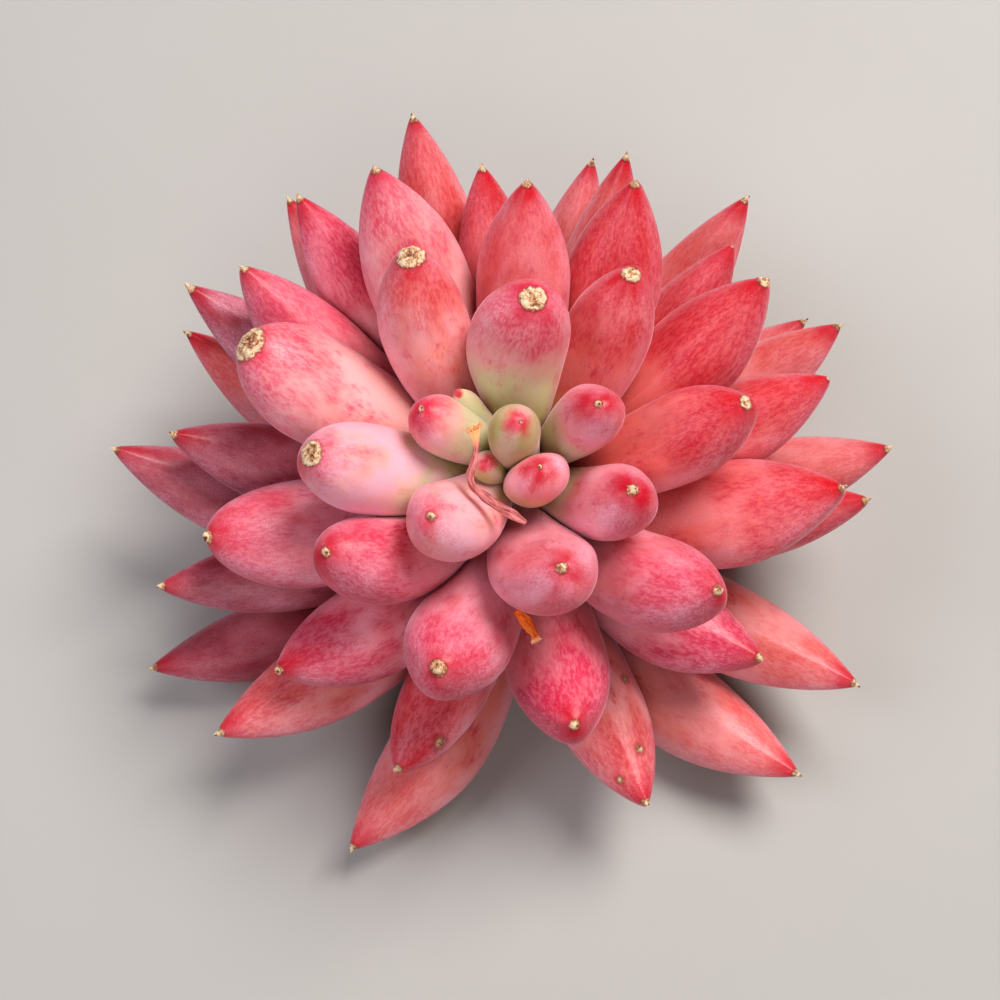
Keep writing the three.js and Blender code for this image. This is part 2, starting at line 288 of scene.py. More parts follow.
class EffectLibrary:
    """Makes each shared effect once and places it in materials."""

    def __init__(self) -> None:
        """Starts with no effect made."""
        self.made: dict[Effect, bpy.types.NodeTree] = {}
        self.makers: dict[Effect, Callable[[], bpy.types.NodeTree]] = {
            Effect.PATTERN: self.pattern,
            Effect.PIGMENT: self.pigment,
            Effect.BLOOM: self.bloom,
            Effect.GRAIN: self.grain,
            Effect.DRY_TISSUE: self.dry_tissue,
            Effect.FIBRES: self.fibres,
        }

    def place(self, wiring: Wiring, effect: Effect, **values: Feed) -> dict[str, Socket]:
        """Puts an effect in a material.

        Args:
            wiring: The material's wiring.
            effect: Which effect.
            values: Its inputs by name, with _ for a space.

        Returns:
            Its outputs by name.
        """
        if effect not in self.made:
            self.made[effect] = self.makers[effect]()
        node = wiring.node("Group", node_tree=self.made[effect], label=effect.value)
        for name, value in values.items():
            wiring.feed(node.inputs[name.replace("_", " ")], value)
        return {output.name: output for output in node.outputs}

    @staticmethod
    def start(effect: Effect, inputs: dict[str, Feed], outputs: dict[str, str]
              ) -> tuple[Wiring, dict[str, Socket], dict[str, Socket]]:
        """An empty group with named sockets.

        Args:
            effect: Which effect it is.
            inputs: Each input's name and usual value; a colour has four parts.
            outputs: Each output's name and kind, Float or Color.

        Returns:
            The group's wiring, its inputs and the sockets that its results go to.
        """
        tree = bpy.data.node_groups.new(effect.value, "ShaderNodeTree")
        for name, value in inputs.items():
            kind = "Float" if isinstance(value, float) else "Color"
            socket = tree.interface.new_socket(
                name=name, in_out="INPUT", socket_type="NodeSocket" + kind)
            socket.default_value = value
        for name, kind in outputs.items():
            tree.interface.new_socket(
                name=name, in_out="OUTPUT", socket_type="NodeSocket" + kind)
        given = tree.nodes.new("NodeGroupInput").outputs
        results = tree.nodes.new("NodeGroupOutput").inputs
        return (Wiring(tree), {s.name: s for s in given if s.name},
                {s.name: s for s in results if s.name})

    def pattern(self) -> bpy.types.NodeTree:
        """The random patterns in leaf skin, from broad clouds to fine specks."""
        w, _, out = self.start(
            Effect.PATTERN, {},
            {"Cloud": "Float", "Patches": "Float", "Flecks": "Float", "Specks": "Float"})
        local = w.own(LOCAL)
        w.feed(out["Cloud"], w.noise(w.stretched(local, (0.6, 1.0, 1.0)), 0.19, 2.0, 0.55))
        w.feed(out["Patches"], w.noise(w.stretched(local, (0.6, 1.0, 1.0)), 0.40, 4.0, 0.66))
        w.feed(out["Flecks"], w.noise(w.stretched(local, (0.32, 1.0, 1.0)), 2.3, 2.0, 0.65))
        w.feed(out["Specks"], w.noise(w.stretched(local, (0.7, 1.0, 1.0)), 6.0, 1.0, 0.6))
        return w.tree

    def pigment(self) -> bpy.types.NodeTree:
        """Leaf colours: green heart, pale flesh, blotchy blush and red end, with painted shade toward
        the base.
        """
        w, given, out = self.start(
            Effect.PIGMENT,
            {"Cloud": 0.5, "Patches": 0.5, "Flecks": 0.5,
             "Root": paint(0xC2523C), "Flesh": paint(0xE8A0A0), "Blush": paint(0xD23A62),
             "Tip": paint(0xC81036), "Heart": paint(0xC8CC96), "Heart Reach": -0.3,
             "Blush Start": 0.5, "Blush Strength": 0.7, "Blotches": 0.6, "Point Red": 2.0},
            {"Colour": "Color", "Blush": "Float"})
        cloud, patches, flecks = given["Cloud"], given["Patches"], given["Flecks"]
        share, across, over = w.parts(w.own(PLACE))
        # A wash of red toward the end, its border pushed about by the patterns
        sides = w.times(across, across)
        warped = w.total((share, 1.0), (cloud, 0.75), (patches, 0.42), (flecks, 0.08),
                         (sides, -0.04), (over, -0.04), (1.0, -0.600))
        start = given["Blush Start"]
        wash = w.band(warped, start, w.math("ADD", start, 0.44))
        wash = w.times(wash, given["Blush Strength"])
        # Red blotches and freckles
        blotch = w.band(w.total((patches, 0.85), (cloud, 0.20), (flecks, 0.14)), 0.54, 0.80)
        blotch = w.times(blotch, w.band(warped, 0.28, 0.62))
        blotch = w.times(blotch, given["Blotches"])
        blush = w.math("MAXIMUM", wash, blotch)
        freckled = w.between(w.band(flecks, 0.36, 0.64), 0.70, 1.14)
        blush = w.times(blush, freckled, clamp=True)
        # Flesh from the root outward, the root darkened as painted shade for the gaps between leaves,
        # and green near the heart
        depth = w.total((share, 1.0), (cloud, 0.22), (patches, 0.10), (1.0, -0.16))
        flesh = w.mix(w.band(depth, 0.14, 0.62), given["Root"], given["Flesh"])
        reach = given["Heart Reach"]
        green = w.band(w.total((share, -1.0), (reach, 1.0), (cloud, 0.26), (flecks, 0.04)),
                       0.02, 0.34)
        # The darker olive toward the heart's base is painted shade
        heart = w.mix(w.band(share, 0.10, 0.42), paint(0x9C8A34), given["Heart"])
        colour = w.mix(green, flesh, heart)
        colour = w.mix(blush, colour, given["Blush"])
        # The deepest red round the dry point
        near = w.total((w.own_number(FROM_POINT), 1.0), (cloud, -2.6), (patches, -3.4),
                       (flecks, -0.8), (1.0, 3.2))
        near = w.math("DIVIDE", near, given["Point Red"])
        red_end = w.rest(w.band(near, 0.20, 1.35))
        colour = w.mix(w.times(red_end, 0.92), colour, given["Tip"])
        w.feed(out["Colour"], colour)
        w.feed(out["Blush"], w.math("MAXIMUM", blush, red_end))
        return w.tree

    def bloom(self) -> bpy.types.NodeTree:
        """The pale wax on a leaf, cloudy, flecked and rubbed in short scratches, with a painted rim
        highlight along its edges.
        """
        w, given, out = self.start(
            Effect.BLOOM,
            {"Cloud": 0.5, "Patches": 0.5, "Flecks": 0.5, "Specks": 0.5,
             "Skin": paint(0xE07C80), "Blush": 0.0, "Wax": paint(0xF4BCD2), "Amount": 0.3},
            {"Colour": "Color", "Roughness": "Float"})
        specks = given["Specks"]
        _, across, over = w.parts(w.own(PLACE))
        # Cloudy wax, thinner on red skin, and paler at the edges as a painted rim highlight
        veil = w.total((given["Cloud"], -1.0), (given["Patches"], 0.45), (over, 0.05),
                       (1.0, 0.78))
        cover = w.times(w.band(veil, 0.38, 0.66), given["Amount"])
        # Painted rim highlight: paler wax toward the leaf's edges
        edge = w.band(w.times(across, across), 0.45, 1.0)
        cover = w.total((cover, 1.0), (edge, 0.34))
        cover = w.times(cover, w.between(w.band(specks, 0.36, 0.64), 0.6, 1.3))
        cover = w.times(cover, w.total((given["Blush"], -0.70), (1.0, 1.0)))
        # Short scratches and crumbs of wax
        fringe = w.noise(w.stretched(w.own(LOCAL), (0.30, 1.0, 1.0)), 0.62, 0.0, 0.5)
        line = w.math("ABSOLUTE", w.math("SUBTRACT", fringe, 0.5))
        scratch = w.rest(w.band(line, 0.0, 0.007))
        scratch = w.times(scratch, w.band(veil, 0.62, 0.70))
        crumbs = w.band(w.total((specks, 0.75), (given["Flecks"], 0.25)), 0.655, 0.70)
        marks = w.times(w.math("MAXIMUM", scratch, crumbs), 0.40)
        cover = w.math("MAXIMUM", cover, marks, clamp=True)
        w.feed(out["Colour"], w.mix(cover, given["Skin"], given["Wax"]))
        w.feed(out["Roughness"], w.between(cover, 0.36, 0.62))
        return w.tree

    def grain(self) -> bpy.types.NodeTree:
        """Fine relief of the skin: grain, soft furrows, rings by the end, crumbs on crust."""
        w, given, out = self.start(
            Effect.GRAIN, {"Furrows": 0.5, "Rings": 0.0, "Reach": 0.8}, {"Height": "Float"})
        local = w.own(LOCAL)
        fine = w.noise(local, 3.4, 1.0, 0.6)
        furrows = w.noise(w.stretched(local, (0.12, 1.0, 1.0)), 1.0, 2.0, 0.55)
        near = w.own_number(FROM_POINT)
        # Rings round the end
        waves = w.math("SINE", w.total((near, 14.0), (furrows, 16.0), (fine, 7.0)))
        fade = w.rest(w.band(near, 2.0, 7.0))
        waves = w.times(w.times(waves, fade), given["Rings"])
        # Grain, coarser on dry crust
        beyond = w.math("SUBTRACT", near, given["Reach"])
        crusty = w.rest(w.band(beyond, -0.2, 0.25))
        height = w.times(fine, w.between(crusty, 0.32, 2.6))
        height = w.total((height, 1.0), (waves, 0.16))
        height = w.math("ADD", height, w.times(furrows, given["Furrows"]))
        w.feed(out["Height"], height)
        return w.tree

    def dry_tissue(self) -> bpy.types.NodeTree:
        """The corky dry point, scar or scab: pale crust, tan cork and brown pits, darkened partly as
        painted shade.
        """
        w, given, out = self.start(
            Effect.DRY_TISSUE,
            {"Patches": 0.5, "Flecks": 0.5, "Reach": 0.8, "Spot": 9.0,
             "Crust": paint(0xE6CFAE), "Cork": paint(0xBC8A62), "Pit": paint(0x6C4438)},
            {"Mask": "Float", "Halo": "Float", "Colour": "Color"})
        distance = w.own_number(FROM_POINT)
        # How far inside the ragged rim of the crust, or of a scab, a place lies
        ragged = w.total((given["Flecks"], 0.6), (given["Patches"], 0.4))
        rim = w.total((given["Reach"], 1.0), (distance, -1.0), (ragged, 1.5), (1.0, -0.75))
        spot = w.total((given["Spot"], -0.35), (ragged, 0.40), (1.0, 0.15))
        rim = w.math("MAXIMUM", rim, spot)
        # Pits, cork and crust by height, darker lower down as brown tissue and painted shade in the
        # hollows, and a dark edge
        crumbs = w.noise(w.own(LOCAL), 2.1, 3.0, 0.70)
        level = w.total((w.own_number(CRUST), 1.0), (crumbs, 1.5), (1.0, -0.75))
        colour = w.mix(w.band(level, -0.28, -0.04), given["Pit"], given["Cork"])
        colour = w.mix(w.band(level, -0.06, 0.22), colour, given["Crust"])
        edge = w.rest(w.band(rim, 0.02, 0.26))
        colour = w.mix(w.times(edge, 0.5), colour, given["Pit"])
        w.feed(out["Mask"], w.band(rim, -0.04, 0.10))
        w.feed(out["Halo"], w.band(w.math("MAXIMUM", rim, -1.0), -0.40, -0.02))
        w.feed(out["Colour"], colour)
        return w.tree

    def fibres(self) -> bpy.types.NodeTree:
        """Dry plant tissue drawn out in fibres along its length."""
        w, given, out = self.start(
            Effect.FIBRES,
            {"Pale": paint(0xD8A590), "Dark": paint(0x8E4A44), "Drawn": 0.12},
            {"Colour": "Color", "Height": "Float"})
        local = w.own(LOCAL)
        fibre = w.noise(w.stretched(local, (0.12, 1.0, 1.0)), 3.0, 4.0, 0.65)
        blots = w.noise(local, 0.8, 4.0, 0.6)
        amount = w.band(w.total((fibre, 0.7), (blots, 0.3)), 0.36, 0.64)
        w.feed(out["Colour"], w.mix(amount, given["Dark"], given["Pale"]))
        w.feed(out["Height"], w.total((fibre, 1.0), (blots, 0.4)))
        return w.tree


EFFECTS = EffectLibrary()


# Finishes

class Mood(Enum):
    """The tints that one rosette's leaves take with age and light.

    Each is the colour of the root, darkened as painted shade, the flesh, the blush and the red at the
    end.
    """

    ROSE = (0x9E3428, 0xEE8E94, 0xD02E56, 0xC60A2A)
    CORAL = (0xB03A22, 0xEE7C76, 0xCE2A40, 0xCE0822)
    SALMON = (0xB84E36, 0xF0968C, 0xD8404C, 0xCA142E)
    # Mauve is partly the leaf's own tint and partly painted shade for leaves on the shaded side
    MAUVE = (0x702622, 0xC4646E, 0xA0283E, 0xB00E2A)
    PALE = (0xC07456, 0xF6B2AC, 0xE04464, 0xD41E44)


@dataclass(frozen=True)
class LeafSkin:
    """The skin of a leaf.

    Args:
        mood: The leaf's tint.
        green: How far up the leaf the green heart colour reaches, as a share.
        blush_start: Where the red begins, as a share of the length.
        blush: How strong the red is.
        blotches: How strong the red patches are.
        point_red: How far from the dry point the deepest red reaches, in mm.
        wax: How much pale bloom covers it.
        rings: How deep the fine rings round its end are.
        heart: The colour of the part near the heart.
    """

    mood: Mood = Mood.ROSE
    green: float = -0.3
    blush_start: float = 0.46
    blush: float = 0.72
    blotches: float = 0.75
    point_red: float = 4.0
    wax: float = 0.30
    rings: float = 0.12
    heart: int = 0xD6D3A4
    RELIEF = 0.11
    FAR_FROM_SPOTS = 9.0
    BRUISE = 0x9C3430
    BRUISE_SHARE = 0.5
    DRY_ROUGHNESS = 0.9

    def material(self, name: str, dry_reach: float,
                 spots: Iterable[tuple[np.ndarray, float]]) -> bpy.types.Material:
        """Makes the leaf's material.

        Args:
            name: The material's name.
            dry_reach: How far the dry point or scar reaches, in mm.
            spots: The local place and the radius of each scab, in mm.

        Returns:
            The material.
        """
        made, w, skin = new_material(name)
        nearest: Feed = self.FAR_FROM_SPOTS
        for middle, radius in spots:
            gap = w.node("VectorMath", operation="DISTANCE")
            w.feed(gap.inputs[0], w.own(LOCAL))
            gap.inputs[1].default_value = middle
            nearest = w.math("MINIMUM", nearest, w.math("DIVIDE", gap.outputs["Value"], radius))
        # The root colour carries painted shade for the gaps between leaves
        root, flesh, blush, tip = [paint(code) for code in self.mood.value]
        pattern = EFFECTS.place(w, Effect.PATTERN)
        cloud, patches, flecks = (pattern[name] for name in ("Cloud", "Patches", "Flecks"))
        pigment = EFFECTS.place(
            w, Effect.PIGMENT, Cloud=cloud, Patches=patches, Flecks=flecks,
            Root=root, Flesh=flesh, Blush=blush, Tip=tip,
            Heart=paint(self.heart), Heart_Reach=self.green, Blush_Start=self.blush_start,
            Blush_Strength=self.blush, Blotches=self.blotches, Point_Red=self.point_red)
        # Wax bloom, with its painted rim highlight at the edges
        bloom = EFFECTS.place(
            w, Effect.BLOOM, Cloud=cloud, Patches=patches, Flecks=flecks,
            Specks=pattern["Specks"], Skin=pigment["Colour"], Blush=pigment["Blush"],
            Amount=self.wax)
        dry = EFFECTS.place(w, Effect.DRY_TISSUE, Patches=patches, Flecks=flecks,
                            Reach=dry_reach, Spot=nearest)
        grain = EFFECTS.place(w, Effect.GRAIN, Rings=self.rings, Reach=dry_reach)
        bruised = w.mix(w.times(dry["Halo"], self.BRUISE_SHARE), bloom["Colour"],
                        paint(self.BRUISE))
        colour = w.mix(dry["Mask"], bruised, dry["Colour"])
        rough = w.between(dry["Mask"], bloom["Roughness"], self.DRY_ROUGHNESS)
        w.feed(skin.inputs["Base Color"], colour)
        w.feed(skin.inputs["Roughness"], rough)
        w.feed(skin.inputs["Normal"], bump(w, grain["Height"], self.RELIEF * MM))
        settle(skin, {
            "Subsurface Weight": 0.5, "Subsurface Radius": (1.0, 0.30, 0.22),
            "Subsurface Scale": 0.003, "Specular IOR Level": 0.40,
            "Sheen Weight": 0.60, "Sheen Roughness": 0.28, "Sheen Tint": paint(0xFFD6E4)})
        return made


@dataclass(frozen=True)
class DryFinish:
    """Dry, papery or woody tissue with fibres along it.

    Args:
        pale: The colour of its raised fibres.
        dark: The colour between them.
        end: The colour toward the end, where the point distance is short.
        end_reach: How far the end colour reaches, in mm.
        rough: How dull it is.
        relief: The depth of its fibres, in mm.
        glow: How much light it lets through, as a share.
    """

    pale: int
    dark: int
    end: int
    end_reach: float
    rough: float = 0.75
    relief: float = 0.1
    glow: float = 0.2

    def material(self, name: str) -> bpy.types.Material:
        """Makes the material.

        Args:
            name: The material's name.

        Returns:
            The material.
        """
        made, w, shader = new_material(name)
        fibres = EFFECTS.place(w, Effect.FIBRES, Pale=paint(self.pale), Dark=paint(self.dark))
        near = w.band(w.own_number(FROM_POINT), self.end_reach * 0.35, self.end_reach)
        end = w.rest(near)
        w.feed(shader.inputs["Base Color"],
               w.mix(w.times(end, 0.8), fibres["Colour"], paint(self.end)))
        w.feed(shader.inputs["Roughness"], w.between(fibres["Height"], self.rough, 0.95))
        w.feed(shader.inputs["Normal"], bump(w, fibres["Height"], self.relief * MM))
        settle(shader, {"Subsurface Weight": self.glow, "Subsurface Scale": 0.0008,
                        "Subsurface Radius": (1.0, 0.5, 0.3)})
        return made


@dataclass(frozen=True)
class StemFinish:
    """The stem: bark with leaf scars, and a moist cut face at its foot.

    Args:
        bark: The colour of the bark.
        crease: The colour of its creases.
        pith: The colour of the middle of the cut.
        rind: The colour of the ring under the bark.
        green: The colour near the growing point.
        dust: The colour of the bark's crumbs.
        grain: The colour of the cells in the cut.
    """

    bark: int = 0xA08462
    crease: int = 0x5A4330
    pith: int = 0xC9C79A
    rind: int = 0x8F9A5C
    green: int = 0xA9AC62
    dust: int = 0xC2AC8A
    grain: int = 0xB7A676
    RELIEF = 0.3

    def material(self, name: str, height: float, cut_radius: float) -> bpy.types.Material:
        """Makes the material.

        Args:
            name: The material's name.
            height: The stem's height in mm.
            cut_radius: The radius of the cut face in mm.

        Returns:
            The material.
        """
        made, w, shader = new_material(name)
        local = w.own(LOCAL)
        up, across, deep = w.parts(local)
        # Bark, green where it is young
        wrinkles = w.noise(w.stretched(local, (1.4, 0.5, 0.5)), 0.9, 5.0, 0.65)
        crumbs = w.noise(local, 2.6, 4.0, 0.7)
        bark = w.mix(w.band(wrinkles, 0.36, 0.60), paint(self.crease), paint(self.bark))
        bark = w.mix(w.band(crumbs, 0.55, 0.75), bark, paint(self.dust))
        young = w.band(up, height * 0.45, height * 0.85)
        bark = w.mix(young, bark, paint(self.green))
        # The cut face: pith, rind and the edge of the bark
        radius = w.math("SQRT", w.math("ADD", w.times(across, across), w.times(deep, deep)))
        radius = w.math("ADD", radius, w.times(crumbs, 0.5))
        face = w.mix(w.band(radius, cut_radius * 0.55, cut_radius * 0.72),
                     paint(self.pith), paint(self.rind))
        face = w.mix(w.band(radius, cut_radius * 0.80, cut_radius * 0.90),
                     face, paint(self.crease))
        face = w.mix(w.band(w.cells(local, 1.5), 0.30, 0.65), face, paint(self.grain))
        foot = w.rest(w.band(up, 0.05, 0.25))
        w.feed(shader.inputs["Base Color"], w.mix(foot, bark, face))
        w.feed(shader.inputs["Roughness"], w.between(foot, 0.85, 0.55))
        relief = w.total((wrinkles, 1.2), (crumbs, 0.5))
        w.feed(shader.inputs["Normal"], bump(w, relief, self.RELIEF * MM))
        settle(shader, {"Subsurface Weight": 0.1, "Subsurface Scale": 0.001})
        return made


def new_material(name: str) -> tuple[bpy.types.Material, Wiring, bpy.types.Node]:
    """An empty node material.

    Args:
        name: The material's name.

    Returns:
        The material, its wiring and its Principled shader.
    """
    made = bpy.data.materials.new(name)
    made.use_nodes = True
    shader = made.node_tree.nodes["Principled BSDF"]
    shader.subsurface_method = "BURLEY"
    return made, Wiring(made.node_tree), shader


def settle(shader: bpy.types.Node, values: dict[str, Feed]) -> None:
    """Sets plain values on a shader's own sockets.

    Args:
        shader: The shader.
        values: A value for each socket, by its name.
    """
    for name, value in values.items():
        shader.inputs[name].default_value = value


def bump(w: Wiring, height: Socket, depth: float) -> Socket:
    """Fine relief.

    Args:
        w: The material's wiring.
        height: The relief's height, from 0 to 1.
        depth: What a height of 1 stands for, in metres.

    Returns:
        The normal for the shader.
    """
    made = w.node("Bump")
    made.inputs["Strength"].default_value = RELIEF_STRENGTH
    made.inputs["Distance"].default_value = depth
    w.feed(made.inputs["Height"], height)
    return made.outputs["Normal"]


# The photograph's view

@dataclass(frozen=True)
class PhotoView:
    """Where the rosette was seen from.

    Args:
        rise_deg: The view's angle above the surface.
        distance: From the camera to the target, in mm.
        target: The point that the picture's middle shows, in mm.
        pixels_per_mm: At the target.
        middle: The pixel in the middle of the picture, both ways.
    """

    rise_deg: float = 70.0
    distance: float = 210.0
    target: tuple[float, float, float] = (-2.5, -2.5, 28.0)
    pixels_per_mm: float = 7.2
    middle: float = 500.0
    SENSOR_WIDTH = 36.0
    CLIP = (0.01, 20.0)

    def axes(self) -> tuple[np.ndarray, np.ndarray, np.ndarray]:
        """The directions to the picture's right, to its top and away from the camera."""
        rise = math.radians(self.rise_deg)
        right = np.array([1.0, 0.0, 0.0])
        away = np.array([0.0, math.cos(rise), -math.sin(rise)])
        return right, np.cross(right, away), away

    def eye(self) -> np.ndarray:
        """The camera's place in mm."""
        return np.array(self.target) - self.axes()[2] * self.distance

    def point_at(self, pixel: tuple[float, float], height: float) -> np.ndarray:
        """The point at a height that the picture shows at a pixel.

        Args:
            pixel: Column and row.
            height: Above the surface, in mm.

        Returns:
            The point in mm.
        """
        right, top, away = self.axes()
        line = (away * self.pixels_per_mm * self.distance
                + right * (pixel[0] - self.middle) + top * (self.middle - pixel[1]))
        eye = self.eye()
        return eye + line * (height - eye[2]) / line[2]

    def camera(self) -> bpy.types.Object:
        """Makes the scene's camera.

        Returns:
            The camera.
        """
        data = bpy.data.cameras.new("photo_view")
        data.sensor_width = self.SENSOR_WIDTH
        data.lens = data.sensor_width / 2 * self.pixels_per_mm * self.distance / self.middle
        data.clip_start, data.clip_end = self.CLIP
        made = bpy.data.objects.new("photo_view", data)
        right, top, away = self.axes()
        turn = Matrix([[right[i], top[i], -away[i]] for i in range(3)])
        made.matrix_world = Matrix.Translation(Vector(self.eye() * MM)) @ turn.to_4x4()
        bpy.context.scene.collection.objects.link(made)
        bpy.context.scene.camera = made
        return made


VIEW = PhotoView()


# Meshes

def closed_tube(rings: np.ndarray) -> tuple[np.ndarray, list[list[int]]]:
    """A closed skin over rings of points, with a fan at each end.

    Args:
        rings: Points by ring, side and coordinate, in mm.

    Returns:
        The points, and faces that look outward.
    """
    count, sides = rings.shape[:2]
    ends = np.array([rings[0].mean(0), rings[-1].mean(0)])
    points = np.concatenate([rings.reshape(-1, 3), ends])
    side = np.arange(sides)
    beside = (side + 1) % sides
    first = (np.arange(count - 1) * sides)[:, None]
    here, there = first + side, first + beside
    quads = np.stack([here, there, there + sides, here + sides], 2).reshape(-1, 4)
    top = (count - 1) * sides
    inner = np.stack([np.full(sides, count * sides), beside, side], 1)
    outer = np.stack([np.full(sides, count * sides + 1), top + side, top + beside], 1)
    triangles = np.concatenate([quads[:, [0, 1, 2]], quads[:, [0, 2, 3]], inner, outer])
    a, b, c = (points[triangles[:, k]] - points.mean(0) for k in range(3))
    if np.sum(a * np.cross(b, c)) < 0:
        quads, inner, outer = quads[:, ::-1], inner[:, ::-1], outer[:, ::-1]
    return points, quads.tolist() + inner.tolist() + outer.tolist()


@dataclass
class Skein:
    """Several tubes that make one piece, with what its material reads at each point."""

    points: list[np.ndarray] = field(default_factory=list)
    faces: list[list[int]] = field(default_factory=list)
    notes: dict[str, list[np.ndarray]] = field(default_factory=dict)
    count: int = 0

    def add_tube(self, rings: np.ndarray, **notes: np.ndarray) -> None:
        """Adds one closed tube.

        Args:
            rings: Points by ring, side and coordinate, in mm.
            notes: What the points keep, by name, with a row for each point of the rings.
        """
        points, faces = closed_tube(rings)
        self.points.append(points)
        self.faces += [[i + self.count for i in face] for face in faces]
        self.count += len(points)
        sides = rings.shape[1]
        for name, values in notes.items():
            flat = values.reshape(len(points) - 2, -1)
            ends = np.array([flat[:sides].mean(0), flat[-sides:].mean(0)])
            self.notes.setdefault(name, []).append(np.concatenate([flat, ends]))

    def piece(self, name: str, material: bpy.types.Material, nodes: Iterable[str]) -> bpy.types.Object:
        """Makes the object and fits it in the frame.

        Args:
            name: The piece's name.
            material: Its material.
            nodes: The CAD nodes that it stands for.

        Returns:
            The object.
        """
        mesh = bpy.data.meshes.new(name)
        points = np.concatenate(self.points) * MM
        mesh.from_pydata(points.tolist(), [], self.faces)
        mesh.shade_smooth()
        for note, parts in self.notes.items():
            values = np.concatenate(parts)
            kind, key = ("FLOAT_VECTOR", "vector") if values.shape[1] == 3 else ("FLOAT", "value")
            kept = mesh.attributes.new(note, kind, "POINT")
            kept.data.foreach_set(key, values.astype(np.float32).ravel())
        mesh.materials.append(material)
        mesh.validate()
        made = bpy.data.objects.new(name, mesh)
        bpy.context.scene.collection.objects.link(made)
        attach(made, "root")
        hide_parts(*nodes)
        log.info("%s: %d faces", name, len(mesh.polygons))
        return made


# Leaves

class Leaves:
    """Sizes that every leaf shares, in mm."""

    ROOT_HALF_WIDTH = 2.2
    ROOT_HALF_THICKNESS = 1.2
    POINT_HALF_WIDTH = 0.35
    UPPER_SHARE = 0.44
    BASE_SINK = 0.8
    SIDES = 64
    BODY_RINGS = 26
    END_RINGS = 44
    CLEARANCE = 0.10
    LEAST_SQUEEZE = 0.2
    PRESS_STEPS = 9
    PRESS_SOFTENING = 6
    POINTED_POWER = 2.1
    ROUNDED_POWER = 2.4
    RINGS_TO_THE_END = 1.6
    SQUARENESS = 1.04
    KEEL = 0.42
    KEEL_POWER = 1.1
    OVAL_WITHOUT_KEEL = 0.45
    # Size, waves along the leaf, waves round it and start of each swell of the skin
    SWELLS = ((0.014, 0.0, 3, 0.0), (0.009, 0.0, 5, 0.0), (0.012, 5.0, 2, -math.pi / 2),
              (0.006, 13.0, -1, -math.pi / 2))
    SWELL_FADE_POWER = 0.7
    SHRINK = 0.012
    # How far each leaf's patterns lie from those of the one before
    PATTERN_SHIFT = (1.0, 0.37, -0.61)
    PATTERN_STEP = 23.7


class PointShape:
    """The dry point at a leaf's end: a nub if the end is rounder than NUB_FROM_OVAL, or a cone."""

    NUB_FROM_OVAL = 0.2
    CONE_SIZE = 0.85
    LEAST_SIZE = 0.25
    # Distance beyond the tip and radius of each ring, for a size of 1 mm
    NUB = ((0.08, 0.45), (0.22, 0.50), (0.36, 0.47), (0.47, 0.38), (0.54, 0.27), (0.58, 0.15),
           (0.60, 0.05))
    CONE = ((0.16, 0.36), (0.34, 0.33), (0.54, 0.26), (0.72, 0.17), (0.86, 0.07))
    SEED = 1000
    # Height, number round the ring and turn of the lobes that make it uneven
    LOBES = ((0.12, 2, 1), (0.06, 5, 2))
    GRAIN = 0.015
    LEAN = 0.35
    LEAN_SHARE = 0.7
    LEVEL = 0.26
    # The dent is painted shade of a hollow in the crust colour; the nub's mesh has no dent
    DENT_FROM_RING = 2
    DENT_DEPTH = 0.5
    DENT_SHARPNESS = 2.5


class ScarShape:
    """The dry crust of a scar, in mm, or in shares of its reach where it says so."""

    SEED = 2000
    MARGIN = 0.7
    PIT_ASIDE_SHARE = 0.3
    PIT_UPWARD_SHARE = 0.35
    CENTRE_SHARE = 1.3
    FADE_START = 0.5
    FADE_WIDTH = 0.6
    CRUMBS_PER_MM = 1.3
    CRUMB_HEIGHT = 0.26
    FLAKES_PER_MM = 2.1
    FLAKE_HEIGHT = 0.14
    RIM_SHARE = 0.80
    RIM_WIDTH = 0.34
    RIM_HEIGHT = 0.10
    PIT_SHARE = 0.42
    PIT_DEPTH_SHARE = 0.15


class StemShape:
    """The stem's outline, in mm."""

    RADIUS = 5.6
    TOP_RADIUS = 2.4
    CUT_RADIUS = 6.6
    HEIGHT = 39.0

    @classmethod
    def radius_at(cls, height: float) -> float:
        """The stem's radius at a height.

        Args:
            height: Above the cut face, in mm.

        Returns:
            The radius in mm.
        """
        share = max(0.0, height / cls.HEIGHT) ** 1.6
        return cls.RADIUS + (cls.TOP_RADIUS - cls.RADIUS) * share


